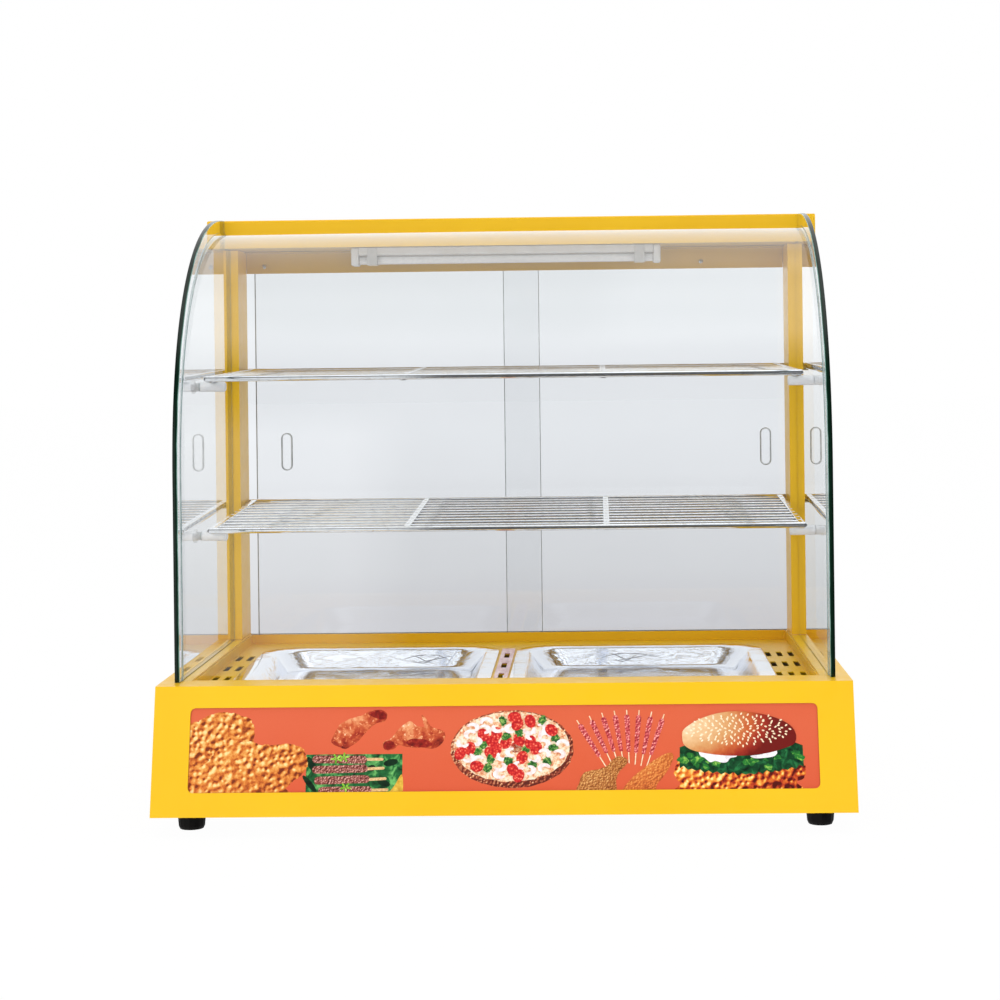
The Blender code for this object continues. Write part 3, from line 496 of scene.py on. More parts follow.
def cut_sheet(name, outlines, plane, low, high, edge):
    """A mesh cut from flat outlines, from low to high across the plane, with rounded edges."""
    data = bpy.data.curves.new(name, "CURVE")
    data.dimensions = "2D"
    data.fill_mode = "BOTH"
    data.extrude = (high - low) / 2 - edge
    data.bevel_depth = edge
    data.bevel_resolution = 2
    data.offset = -edge
    for outline in outlines:
        spline = data.splines.new("POLY")
        spline.points.add(len(outline) - 1)
        for point, (across, up) in zip(spline.points, outline):
            point.co = (across, up, 0.0, 1.0)
        spline.use_cyclic_u = True
    mesh = curve_mesh(data)
    middle = (low + high) / 2
    shift = {"XY": (0, 0, middle), "XZ": (0, middle, 0), "YZ": (middle, 0, 0)}[plane]
    mesh.transform(Matrix.Translation(shift) @ PLANES[plane])
    bm = bmesh.new()
    bm.from_mesh(mesh)
    bmesh.ops.remove_doubles(bm, verts=bm.verts, dist=0.000002)
    bmesh.ops.recalc_face_normals(bm, faces=bm.faces)
    bm.to_mesh(mesh)
    bm.free()
    return mesh


def rounded_rectangle(x_low, x_high, y_low, y_high, radius, steps=8):
    corners = (
        (x_high - radius, y_high - radius, 0),
        (x_low + radius, y_high - radius, 1),
        (x_low + radius, y_low + radius, 2),
        (x_high - radius, y_low + radius, 3),
    )
    outline = []
    for centre_x, centre_y, quarter in corners:
        for step in range(steps + 1):
            angle = math.pi / 2 * (quarter + step / steps)
            outline.append((centre_x + radius * math.cos(angle), centre_y + radius * math.sin(angle)))
    return outline


def add_ring(bm, centre, aside, up, radius, sides):
    """A ring of vertices, or a single one where the radius is zero."""
    if radius == 0.0:
        return [bm.verts.new(centre)]
    turns = [2 * math.pi * step / sides for step in range(sides)]
    return [bm.verts.new(centre + (aside * math.cos(turn) + up * math.sin(turn)) * radius) for turn in turns]


def join_rings(bm, rings):
    """Skins neighbouring rings of vertices. A ring of one vertex is a tip."""
    for upper, lower in zip(rings, rings[1:]):
        steps = max(len(upper), len(lower))
        for step in range(steps):
            following = (step + 1) % steps
            corners = [
                upper[step % len(upper)],
                upper[following % len(upper)],
                lower[following % len(lower)],
                lower[step % len(lower)],
            ]
            kept = list(dict.fromkeys(corners))
            if len(kept) > 2:
                bm.faces.new(kept)


def sweep(bm, points, radii, sides=14):
    """A round bar along a line of points, with its radius at each one. Zero closes an end."""
    points = [Vector(point) for point in points]
    rings = []
    for index, (point, radius) in enumerate(zip(points, radii)):
        along = (points[min(index + 1, len(points) - 1)] - points[max(index - 1, 0)]).normalized()
        aside = along.cross(Vector((0.0, 0.0, 1.0))).normalized()
        rings.append(add_ring(bm, point, aside, aside.cross(along), radius, sides))
    join_rings(bm, rings)


def rod(bm, start, end, radius):
    """A straight bar with rounded ends."""
    start, end = Vector(start), Vector(end)
    along = (end - start).normalized() * radius
    points = [start, start + along * 0.3, start + along, end - along, end - along * 0.3, end]
    sweep(bm, points, [0.0, radius * 0.7, radius, radius, radius * 0.7, 0.0])


# ---------------------------------------------------------------- glass


def curve_points(front_y, top_z, inset, end_y, growth=0.0):
    """The side glass's front and top edge, or a line this far inside it, from the bottom up.

    Growth is the extra share of the inset that is reached at the top of the curve.
    """
    rise = top_z - CURVE_START_Z
    points = []
    for step in range(CURVE_STEPS + 1):
        turn = math.pi / 2 * step / CURVE_STEPS
        across = max(math.cos(turn), 0.0) ** (2 / CURVE_POWER)
        up = math.sin(turn) ** (2 / CURVE_POWER)
        normal = Vector((-(across ** (CURVE_POWER - 1)) / CURVE_RUN, up ** (CURVE_POWER - 1) / rise))
        normal.normalize()
        deep = inset * (1 + growth * step / CURVE_STEPS)
        y = front_y + CURVE_RUN * (1 - across) - normal.x * deep
        z = CURVE_START_Z + rise * up - normal.y * deep
        if y > end_y:
            last_y, last_z = points[-1]
            share = (end_y - last_y) / (y - last_y)
            points.append((end_y, last_z + (z - last_z) * share))
            break
        points.append((y, z))
    return points


def mark_edges(mesh, faces_along, flat=True):
    """Gives every face that doesn't look along the pane's own axis the second material."""
    smooth_by_angle(mesh)
    for face in mesh.polygons:
        broad = faces_along(face.normal)
        face.material_index = 0 if broad else 1
        if broad and flat:
            face.use_smooth = False


def build_side_glass(side, outline, materials):
    """A flat pane with a hole for each peg's bolt."""
    name = f"side_glass_{side}"
    low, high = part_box(name)
    holes = []
    for level in ("lower", "upper"):
        middle = sum(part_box(f"peg_{level}_{side}"), Vector()) / 2
        holes.append([(place.x, place.y) for place in oval((middle.y, middle.z), (0.004, 0.004), 0.0, 24)])
    mesh = cut_sheet(f"{name}_polished", [outline, *holes], "YZ", low.x, high.x, 0.0006)
    mark_edges(mesh, lambda normal: abs(normal.x) > 0.999)
    looks = (materials["clear_glass"], materials["glass_edge"])
    add_piece(f"{name}_polished", mesh, "case", looks, (name,))


def build_front_glass(front_y, top_z, materials):
    """A bent pane that follows the side glasses' edge, a little inside it."""
    low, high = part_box("front_glass")
    outer = [(low.y, low.z)]
    outer += curve_points(front_y, top_z, FRONT_GLASS_INSET, high.y, FRONT_GLASS_SINK)
    inner = []
    for index, (y, z) in enumerate(outer):
        before = Vector(outer[max(index - 1, 0)])
        after = Vector(outer[min(index + 1, len(outer) - 1)])
        along = (after - before).normalized()
        inner.append((y + along.y * PANE, z - along.x * PANE))
    inner[-1] = (outer[-1][0], inner[-1][1])
    mesh = cut_sheet("front_glass_curved", [outer + inner[::-1]], "YZ", low.x, high.x, 0.0004)
    mark_edges(mesh, lambda normal: abs(normal.x) < 0.2, False)
    looks = (materials["curved_glass"], materials["pale_glass_edge"])
    add_piece("front_glass_curved", mesh, "case", looks, ("front_glass",))


def build_glass(materials):
    low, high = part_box("side_glass_left")
    roof_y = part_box("roof_hood")[0].y - GAP
    top_z = CAD_BOUNDS[1][2]
    under_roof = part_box("post_left")[1].z
    outline = [(high.y, under_roof), (high.y, low.z), (low.y, low.z)]
    outline += curve_points(low.y, top_z, 0.0, roof_y)
    outline.append((roof_y, under_roof))
    for side in SIDES:
        build_side_glass(side, outline, materials)
    build_front_glass(low.y, top_z, materials)


# ---------------------------------------------------------------- printed picture


WINDOW_WIDTH = 0.591
WINDOW_HEIGHT = 0.079
WINDOW_BOTTOM = 0.0225
PRINT_FACE = 0.0018
PRINT_STEP = 0.00001


def shaded(look, centre, reach, lean=(-0.35, 0.45)):
    """How lit a rounded thing in the picture is: bright towards the lean, dark at its rim.

    Its centre is in the window's millimetres and its reach in plain millimetres.
    """
    parts = []
    for letter, middle, half in zip("XZ", window_place(*centre), reach):
        parts.append(look.span(look.axis(letter), middle - half * MM, middle + half * MM, -1.0, 1.0))
    rim = look.math("ADD", *(look.math("MULTIPLY", part, part) for part in parts))
    lit = look.math("ADD", *(look.math("MULTIPLY", part, share) for part, share in zip(parts, lean)))
    return look.math("SUBTRACT", lit, look.math("MULTIPLY", rim, 0.30))


def printed(look, value, *stops):
    """Ends a print's material: its colour by the stops, under the film's light gloss."""
    look.set(Base_Color=look.ramp(value, *stops), Roughness=0.34, Specular_IOR_Level=0.35)
    return look.material


def crumb_print(name, scale, stops, centre=(0.0, 0.0), reach=(1.0, 1.0), form=0.35, relief=2.0):
    """Lumpy fried coating: each lump is lit from the upper left."""
    look = Look(name)
    place = look.warped(scale * 0.5, 0.6 / scale)
    beside = look.vectors("ADD", place, (0.22 / scale, 0.0, -0.22 / scale))
    lumps, aside = (look.cells(scale, where, "SMOOTH_F1") for where in (place, beside))
    side = look.math("MULTIPLY", look.math("SUBTRACT", aside, lumps), relief)
    pits = look.math("MULTIPLY", lumps, -0.35)
    fine = look.span(look.noise(scale * 2.6, 3.0, 0.6), 0.25, 0.75, -0.16, 0.16)
    body = look.math("MULTIPLY", shaded(look, centre, reach), form)
    return printed(look, look.math("ADD", side, pits, fine, body, 0.66), *stops)


# Colours of the food in screen values, from the pits and shadows up to the highlights.
FRIED = (
    (0.10, 120, 44, 14), (0.32, 196, 96, 32), (0.52, 224, 138, 56), (0.72, 236, 176, 92),
    (0.92, 250, 218, 150),
)
MINCED = ((0.15, 58, 22, 22), (0.40, 124, 58, 52), (0.62, 168, 98, 88), (0.88, 226, 176, 164))
KEBAB = ((0.15, 128, 26, 34), (0.42, 192, 62, 70), (0.66, 222, 108, 110), (0.90, 246, 186, 178))
CUTLET = ((0.12, 104, 52, 24), (0.40, 162, 92, 42), (0.66, 206, 142, 76), (0.92, 236, 196, 128))
FILLET = ((0.10, 150, 60, 24), (0.40, 206, 108, 48), (0.66, 226, 148, 72), (0.92, 244, 196, 122))
PATTY = (
    (0.06, 84, 12, 6), (0.28, 182, 52, 22), (0.50, 226, 118, 36), (0.72, 244, 182, 74),
    (0.94, 254, 232, 156),
)
CRUST = ((0.10, 92, 34, 24), (0.40, 150, 62, 44), (0.68, 196, 122, 82), (0.92, 240, 206, 160))
GLAZE = (
    (0.12, 96, 18, 12), (0.36, 168, 52, 30), (0.54, 206, 98, 56), (0.72, 232, 158, 108),
    (0.95, 252, 222, 190),
)
TOMATO = ((0.10, 244, 160, 128), (0.30, 226, 64, 52), (0.62, 196, 28, 34), (0.90, 158, 16, 26))
CHEESE = ((0.28, 206, 88, 62), (0.42, 232, 168, 120), (0.55, 246, 226, 194), (0.75, 252, 244, 232))
PRAWN = ((0.25, 236, 196, 190), (0.48, 246, 232, 232), (0.75, 252, 250, 252))
CREAM = ((0.28, 214, 206, 214), (0.50, 244, 240, 246), (0.75, 255, 254, 255))
STICK = ((0.30, 196, 150, 98), (0.60, 232, 196, 140), (0.80, 248, 226, 184))
BUN = (
    (0.02, 112, 18, 12), (0.20, 160, 44, 26), (0.40, 198, 96, 48), (0.62, 216, 156, 98),
    (0.84, 238, 200, 152), (1.00, 252, 238, 218),
)


def glazed_print(name, centre, reach):
    """A roasted wing: dark red skin with pale glaze in soft patches."""
    look = Look(name)
    place = look.warped(90.0, 0.006)
    patches = look.noise(150.0, 3.0, 0.55, place=place)
    sheen = look.span(look.noise(420.0, 2.0, place=place), 0.58, 0.75, 0.0, 0.4)
    form = look.math("MULTIPLY", shaded(look, centre, reach), 0.45)
    return printed(look, look.math("ADD", patches, form, sheen, 0.04), *GLAZE)


def leaf_print(name, dark, middle, light, scale=120.0):
    """Crumpled green leaf, from its folds to its lit faces."""
    look = Look(name)
    folds = look.noise(scale, 3.0, 0.6, 0.6, place=look.warped(scale * 0.6, 0.007))
    return printed(look, folds, (0.32, *dark), (0.52, *middle), (0.70, *light))


def tomato_print():
    look = Look("print_tomato")
    return printed(look, look.cells(420.0, look.warped(160.0, 0.002)), *TOMATO)


def speckle_print(name, scale, *stops):
    look = Look(name)
    return printed(look, look.noise(scale, 3.0, 0.6), *stops)


def bun_print(centre, reach):
    """A glossy bun that goes from a pale lit side to a deep red brown one."""
    look = Look("print_bun")
    form = shaded(look, centre, reach, (-0.62, 0.30))
    crust = look.span(look.noise(240.0, 4.0, 0.6), 0.3, 0.7, -0.05, 0.05)
    return printed(look, look.math("ADD", form, crust, 0.50), *BUN)


def smooth_outline(points, steps=6):
    """A closed curve through given points (Catmull-Rom)."""
    count = len(points)
    made = []
    for index in range(count):
        before, start, end, after = (Vector(points[(index + shift) % count]) for shift in (-1, 0, 1, 2))
        for step in range(steps):
            t = step / steps
            once = (end - before) * t
            twice = (2 * before - 5 * start + 4 * end - after) * t * t
            thrice = (3 * start - before - 3 * end + after) * t * t * t
            made.append((2 * start + once + twice + thrice) * 0.5)
    return made


def ragged(outline, amount, rng):
    """Crumbs along an outline: every point is pushed in or out a little."""
    middle = sum(outline, Vector((0.0, 0.0))) / len(outline)
    return [point + (point - middle).normalized() * rng.uniform(-amount, amount) for point in outline]


def oval(centre, reach, turn=0.0, sides=14):
    made = []
    for step in range(sides):
        angle = 2 * math.pi * step / sides
        spoke = Vector((reach[0] * math.cos(angle), reach[1] * math.sin(angle)))
        made.append(Vector(centre) + Matrix.Rotation(turn, 2) @ spoke)
    return made


def bar(start, end, width, taper=1.0):
    """A straight strip with round ends, from start to end."""
    start, end = Vector(start), Vector(end)
    along = (end - start).normalized()
    aside = Vector((-along.y, along.x))
    made = []
    for centre, half in ((end, width / 2 * taper), (start, -width / 2)):
        for step in range(5):
            angle = math.pi / 2 - math.pi * step / 4
            made.append(centre + (aside * math.sin(angle) + along * math.cos(angle)) * half)
    return made


def crescent(centre, radius, thickness, start, sweep):
    """A curled prawn: a thick arc with a narrow tail."""
    outer = []
    inner = []
    for step in range(9):
        share = step / 8
        angle = start + sweep * share
        half = thickness / 2 * math.sin(math.pi * (0.12 + 0.80 * share)) ** 0.6
        spoke = Vector((math.cos(angle), 0.72 * math.sin(angle)))
        outer.append(Vector(centre) + spoke * (radius + half))
        inner.append(Vector(centre) + spoke * (radius - half))
    return outer + inner[::-1]


class Picture:
    """Collects flat shapes, in millimetres from the window's lower left corner."""

    def __init__(self, rng):
        self.groups = {}
        self.rng = rng

    def start(self, group, *materials):
        self.group = self.groups.setdefault(group, {"shapes": [], "materials": materials})
        self.layer = 0

    def add(self, outline, material, rough=0.0):
        """A shape in a layer above the last. Rough is how far crumbs push its outline about."""
        self.layer += 1
        self.same_layer(ragged(outline, rough, self.rng) if rough else outline, material)

    def trace(self, points, steps, material, rough=0.0):
        """A shape with a smooth outline through the points."""
        self.add(smooth_outline(points, steps), material, rough)

    def same_layer(self, outline, material):
        """A shape that runs past the window's edge is cut off there."""
        limits = (WINDOW_WIDTH / MM - 0.2, WINDOW_HEIGHT / MM - 0.2)
        kept = []
        for place in outline:
            kept.append(tuple(min(max(value, 0.2), limit) for value, limit in zip(place, limits)))
        self.group["shapes"].append((kept, self.layer, material))

    def build(self, face):
        for group, held in self.groups.items():
            bm = bmesh.new()
            for outline, layer, material in held["shapes"]:
                top = PRINT_FACE - PRINT_STEP * (layer * 2 + 1)
                points = [window_place(*place) for place in outline]
                add_plate(bm, points, top, top + PRINT_STEP, material)
            bmesh.ops.dissolve_degenerate(bm, dist=0.0000005, edges=bm.edges)
            mesh = mesh_from(bm, group)
            add_piece(group, mesh, "case", held["materials"], (), face)


def add_plate(bm, points, near_y, far_y, material=0):
    """A flat upright plate with this outline in X and Z, between two places in Y."""
    near, far = ([bm.verts.new((x, y, z)) for x, z in points] for y in (near_y, far_y))
    faces = []
    for corners in tessellate_polygon([[Vector((x, z, 0.0)) for x, z in points]]):
        faces.append([near[corner] for corner in corners])
        faces.append([far[corner] for corner in reversed(corners)])
    for index in range(len(points)):
        after = (index + 1) % len(points)
        faces.append((near[index], far[index], far[after], near[after]))
    for corners in faces:
        bm.faces.new(corners).material_index = material


def window_place(across, up):
    """A place in the picture, in millimetres, as the object coordinates that materials read."""
    return (across * MM - WINDOW_WIDTH / 2, WINDOW_BOTTOM + up * MM)


def draw_fried_chicken(picture):
    back = crumb_print("print_chicken_back", 215.0, FRIED, (30, 48), (42, 38), 0.30)
    front = crumb_print("print_chicken_front", 200.0, FRIED, (54, 18), (66, 40), 0.32)
    picture.start("picture_fried_chicken", back, front)
    picture.trace([
        (-3, 14), (-3, 60), (9, 67), (18, 73), (33, 75), (47, 72), (57, 68), (61, 57), (59, 44),
        (48, 34), (28, 22), (10, 12),
    ], 8, 0, 0.7)
    picture.trace([
        (-3, -3), (-2, 9), (5, 20), (18, 30), (27, 40), (39, 44), (52, 48), (66, 45), (79, 44),
        (93, 45), (106, 41), (110, 34), (112, 25), (106, 16), (97, 9), (92, 4), (90, -3),
    ], 8, 1, 0.8)


def draw_wings(picture):
    first = glazed_print("print_wing_first", (158, 60), (32, 22))
    second = glazed_print("print_wing_second", (212, 52), (34, 20))
    tones = (0.30, 96, 10, 8), (0.55, 150, 30, 20), (0.75, 200, 84, 56)
    picture.start("picture_wings", first, second, speckle_print("print_wing_joint", 260.0, *tones))
    picture.trace([
        (134, 49), (138, 57), (142, 63), (151, 68), (162, 71), (169, 75), (177, 76.5), (183, 75),
        (186, 71), (184, 65.5), (177, 64), (171, 60), (165, 54), (159, 47), (153, 43), (147, 40),
        (141, 42), (135, 45),
    ], 4, 0, 0.25)
    picture.trace([(168, 73), (176, 75.8), (183, 74), (185, 69.5), (181, 67), (174, 69)], 5, 2)
    picture.trace([
        (183, 46), (182.6, 41), (186, 38.4), (193, 39.6), (197, 43), (202, 42), (210, 41), (221, 40.5),
        (229, 39.6), (236, 42.5), (240, 48), (241, 52), (239, 56), (233, 58), (228, 60), (224, 65.5),
        (221, 70), (218.5, 70.5), (220, 65), (221, 60), (214, 61), (208, 65.4), (203, 63), (196, 57),
        (190, 49.5),
    ], 4, 1, 0.25)
    picture.trace([(183.5, 45.5), (183, 41), (187, 39), (192, 41), (193, 45), (188, 47.5)], 5, 2)
    joint = [(204, 45), (212, 41.6), (224, 41), (229, 44), (222, 48), (210, 49)]
    picture.same_layer(smooth_outline(joint, 5), 2)


def draw_leaf_card(picture):
    """A small card in the picture: minced skewers on banana leaf."""
    picture.start(
        "picture_leaf_card",
        leaf_print("print_leaf", (8, 34, 18), (28, 104, 52), (112, 190, 104)),
        crumb_print("print_minced", 620.0, MINCED, form=0.0, relief=1.6),
        speckle_print("print_stick", 500.0, *STICK),
        leaf_print("print_herb", (60, 130, 24), (132, 196, 52), (206, 238, 120), 300.0),
        speckle_print("print_leaf_shadow", 200.0, (0.30, 4, 18, 10), (0.70, 14, 52, 28)),
        speckle_print("print_plate", 160.0, (0.30, 196, 138, 30), (0.70, 240, 208, 84)),
    )
    picture.add([(110.5, -3.0), (201.0, -3.0), (201.0, 35.0), (110.5, 35.0)], 0)
    picture.trace([(188, -3), (194, 6), (200.7, 16), (200.7, -3)], 4, 5)
    for centre, reach, turn in (
        ((116, 25), (3.2, 9), 0.5), ((114, 8), (2.6, 10), 0.7), ((172, 22), (4, 3), 0.3),
        ((190, 27), (7, 3.2), 0.2), ((184, 8), (6, 3), -0.3), ((176, 1), (5, 2), 0.1),
    ):
        picture.same_layer(oval(centre, reach, turn), 4)
    picture.layer += 1
    rows = ((30.5, 117, 167, -0.6), (20.8, 117, 168, 0.9), (10.8, 119, 170, 1.2), (1.4, 123, 172, 0.4))
    for up, start, end, tilt in rows:
        picture.add(bar((end, up + tilt * 0.6), (end + 15, up + tilt + 0.2), 2.6), 2)
        picture.add(bar((start + 2.8, up), (end - 2.8, up + tilt), 7.2), 1, 0.35)
    for across, up in ((146, 32), (148, 4.5), (139, 31)):
        for turn in range(5):
            angle = turn * 1.256 + across
            tip = (across + 3.2 * math.cos(angle), up + 2.4 * math.sin(angle))
            picture.add(oval(tip, (2.4, 0.9), angle), 3)


def sunflower(count):
    """Spreads places evenly over a disc of radius 1, as seeds lie: the radius and angle of each."""
    for index in range(count):
        yield math.sqrt((index + 0.5) / count), index * math.pi * (3 - math.sqrt(5))


def draw_pizza(picture):
    rng = picture.rng
    picture.start(
        "picture_pizza",
        crumb_print("print_crust", 420.0, CRUST, (304, 46), (70, 50), 0.45),
        speckle_print("print_cheese", 330.0, *CHEESE),
        tomato_print(),
        speckle_print("print_prawn", 260.0, *PRAWN),
        leaf_print("print_broccoli", (10, 44, 20), (50, 118, 48), (170, 206, 110), 420.0),
    )
    picture.add(oval((304, 38.6), (57.6, 36.0), 0.0, 72), 0, 0.5)
    picture.add(oval((303.5, 41.0), (54.6, 32.4), 0.0, 64), 1, 0.7)
    kinds = ["tomato"] * 20 + ["prawn"] * 26 + ["broccoli"] * 14
    rng.shuffle(kinds)
    picture.layer = 1  # the first topping shares the cheese's layer
    for kind, (share, angle) in zip(kinds, sunflower(len(kinds))):
        across = 303.5 + 50.5 * share * math.cos(angle) + rng.uniform(-1.2, 1.2)
        up = 41.4 + 28.5 * share * math.sin(angle) + rng.uniform(-0.8, 0.8)
        turn = rng.uniform(0.0, 6.28)
        if kind == "tomato":
            picture.add(oval((across, up), (6.4, 5.2), turn, 18), 2)
        elif kind == "prawn":
            picture.add(crescent((across, up), 4.6, 4.8, turn, 3.9), 3)
        else:
            picture.add(oval((across, up), (4.4, 3.6), turn, 22), 4, 0.9)


def draw_skewers(picture):
    picture.start(
        "picture_skewers",
        crumb_print("print_kebab", 560.0, KEBAB, form=0.0, relief=1.6),
        speckle_print("print_skewer_stick", 500.0, (0.30, 232, 196, 146), (0.70, 250, 236, 210)),
        crumb_print("print_cutlet", 640.0, CUTLET, (386, 10), (32, 28), 0.30, 1.2),
        crumb_print("print_fillet", 520.0, FILLET, (430, 18), (34, 26), 0.42, 0.9),
    )
    for index in range(8):
        share = index / 7
        arch = 1 - (2 * share - 1) ** 2
        tip = Vector((365.0 + 82.0 * share, 64.5 + 5.0 * share + 6.5 * arch))
        foot = Vector((391.5 + 38.5 * share, 22.0 + 7.0 * arch * (1 - share)))
        along = foot - tip
        picture.add(bar(tip, foot, 1.0), 1)
        picture.add(bar(tip + along * 0.13, tip + along * 0.76, 5.0, 0.72), 0, 0.2)
    picture.trace([
        (366, -3), (367, 8), (370, 15), (377, 18), (386, 19.5), (393, 22.5), (398, 28), (403.5, 31),
        (410, 29.7), (412, 26), (409, 21.5), (404, 17), (401, 9), (398.5, -3),
    ], 5, 2, 0.4)
    picture.trace([
        (408, -3), (413, 8), (424, 17.7), (435, 26), (445.5, 32), (453, 34), (455, 30), (451.7, 21.6),
        (445.5, 12.4), (439, 4.7), (435, -3),
    ], 5, 3, 0.2)


def draw_lettuce(picture):
    """A dark frill under the bun, then leaves scattered along it."""
    rng = picture.rng
    frill = []
    for step in range(31):
        share = step / 30
        drop = 21.0 - 9.0 * math.sin(math.pi * share) + 6.0 * share * (1 - share)
        wave = (1.2 if step % 2 else -1.0) + rng.uniform(-0.9, 0.9)
        frill.append((460.5 + 116.0 * share, drop + wave))
    picture.add(frill + [(576, 40), (568, 43), (520, 36), (470, 42), (461, 39)], 3)
    for index in range(34):
        share = index / 33
        across = 463.0 + 111.0 * share + rng.uniform(-2.0, 2.0)
        up = 27.5 - 5.5 * math.sin(math.pi * share) + 6.0 * abs(share - 0.5) + rng.uniform(-5.0, 4.5)
        reach = (rng.uniform(3.2, 6.0), rng.uniform(2.0, 3.8))
        shape = ragged(oval((across, up), reach, rng.uniform(-0.8, 0.8), 12), 0.9, rng)
        picture.add(shape, 2 if share < 0.30 or rng.random() < 0.42 else 3)


def draw_burger(picture):
    rng = picture.rng
    picture.start(
        "picture_burger",
        bun_print((512, 48), (56, 26)),
        speckle_print("print_seed", 900.0, (0.30, 240, 214, 166), (0.70, 254, 246, 226)),
        leaf_print("print_lettuce", (8, 52, 30), (40, 128, 48), (168, 220, 92), 150.0),
        leaf_print("print_lettuce_shade", (4, 28, 16), (12, 72, 38), (40, 128, 70), 150.0),
        crumb_print("print_patty", 210.0, PATTY, (500, 12), (86, 30), 0.55, 2.0),
        speckle_print("print_cream", 220.0, *CREAM),
    )
    picture.trace([
        (464, -3), (461, 6), (457, 11), (455.5, 17), (458, 24), (466, 28), (500, 27), (545, 26),
        (570, 27), (577, 22), (578, 15), (575, 9), (569, 6), (568, -3),
    ], 6, 4, 0.7)
    draw_lettuce(picture)
    picture.trace([
        (479, 36), (486, 34), (499, 32), (512, 33), (514, 30), (508, 28.5), (505, 25), (500, 24.5),
        (494, 26), (489, 25), (484, 29), (480, 31),
    ], 4, 5)
    picture.same_layer(smooth_outline([
        (527, 30.5), (538, 32), (549, 36), (552, 33.5), (549, 30), (540, 28.5), (531, 28.2),
    ], 4), 5)
    picture.trace([
        (463.5, 48), (464.5, 54.5), (471, 60), (482, 65.7), (497, 70.2), (514, 72), (531, 70.7),
        (548, 66.8), (560, 61.8), (567.6, 55.6), (570.2, 48), (567.5, 41), (557.5, 37), (544, 33.2),
        (525.5, 31), (503, 31), (482, 33.8), (471, 37), (465, 41.5),
    ], 5, 0)
    picture.layer += 1
    for share, angle in sunflower(150):
        across = 516.0 + 49.0 * share * math.cos(angle) + rng.uniform(-1.0, 1.0)
        up = 55.0 + 15.0 * share * math.sin(angle) + rng.uniform(-0.6, 0.6)
        if up < 36.5 + 0.006 * (across - 516.0) ** 2:
            continue
        picture.same_layer(oval((across, up), (1.35, 0.78), angle + rng.uniform(-0.6, 0.6), 8), 1)


def build_picture():
    """Food drawn in plain shapes, as thin printed layers on the panel's face."""
    picture = Picture(random.Random(11))
    for draw in (draw_fried_chicken, draw_wings, draw_leaf_card, draw_pizza, draw_skewers, draw_burger):
        draw(picture)
    lean = math.atan(FRONT_LEAN)
    picture.build(Matrix.Translation((0.0, FRONT_BOTTOM_Y, FOOT_HEIGHT)) @ Matrix.Rotation(-lean, 4, "X"))


# ---------------------------------------------------------------- doors


PULL_INSETS = {"door_left": 0.0345, "door_right": 0.0265}
PULL_Z = 0.341
PULL_WIDTH = 0.011
PULL_HEIGHT = 0.041


def pull_outline(centre_x, trim=0.0):
    half_w = PULL_WIDTH / 2 - trim
    half_h = PULL_HEIGHT / 2 - trim
    return rounded_rectangle(
        centre_x - half_w, centre_x + half_w, PULL_Z - half_h, PULL_Z + half_h, half_w * 0.98, 8
    )


def build_doors(materials):
    """Each door is a pane with ground edges and a recessed finger pull near its outer side."""
    for name in ("door_left", "door_right"):
        low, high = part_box(name)
        inset = PULL_INSETS[name]
        pull_x = low.x + inset if name == "door_left" else high.x - inset
        looks = (materials["door_glass"], materials["door_edge"])
        outline = rounded_rectangle(low.x, high.x, low.z, high.z, 0.002, 3)
        mesh = cut_sheet(f"{name}_pane", [outline, pull_outline(pull_x)], "XZ", low.y, high.y, 0.0007)
        mark_edges(mesh, lambda normal: abs(normal.y) > 0.999)
        add_piece(f"{name}_pane", mesh, name, looks, (name,))
        insert = [pull_outline(pull_x, 0.0004)]
        mesh = cut_sheet(f"{name}_pull", insert, "XZ", low.y + 0.0006, low.y + 0.0024, 0.0003)
        mark_edges(mesh, lambda normal: abs(normal.y) > 0.999)
        add_piece(f"{name}_pull", mesh, name, looks)


# ---------------------------------------------------------------- trays


TRAY_GAUGE = 0.0008
TRAY_FLOOR = -0.0200
TRAY_PROFILE = (
    (0.0000, -0.0006),
    (0.0002, -0.0002),
    (0.0008, 0.0000),
    (0.0125, 0.0000),
    (0.0139, -0.0003),
    (0.0153, -0.0012),
    (0.0166, -0.0028),
    (0.0277, -0.0175),
    (0.0289, -0.0188),
    (0.0305, -0.0197),
    (0.0325, TRAY_FLOOR),
)


def tray_ring(bm, low, high, inset, height):
    radius = 0.040 - inset * 0.30
    outline = rounded_rectangle(low.x + inset, high.x - inset, low.y + inset, high.y - inset, radius, 12)
    return [bm.verts.new((x, y, height)) for x, y in outline]


def build_trays(materials):
    """Pressed dishes with a flat rim, rounded bends and sloping walls."""
    for side in SIDES:
        name = f"tray_{side}"
        low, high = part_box(name)
        bm = bmesh.new()
        inner = [tray_ring(bm, low, high, inset, high.z + drop) for inset, drop in TRAY_PROFILE]
        outer = []
        for inset, drop in TRAY_PROFILE[1:]:
            outer.append(tray_ring(bm, low, high, inset + 0.0002, high.z + drop - TRAY_GAUGE))
        join_rings(bm, outer[::-1] + inner)
        bm.faces.new(inner[-1])
        bm.faces.new(outer[-1])
        mesh = mesh_from(bm, f"{name}_pressed", 50.0)
        for face in mesh.polygons:
            if len(face.vertices) > 4:
                face.use_smooth = False
        add_piece(f"{name}_pressed", mesh, name, (materials["tray_steel"],), (name,))


def add_crease(bm, place):
    """A thin ridge that tapers to both ends. Place gives its point at each share of the way."""
    shares = [step / 8 for step in range(9)]
    radii = [0.0, *(0.00045 * math.sin(math.pi * share) for share in shares[1:-1]), 0.0]
    sweep(bm, [place(share) for share in shares], radii, 6)


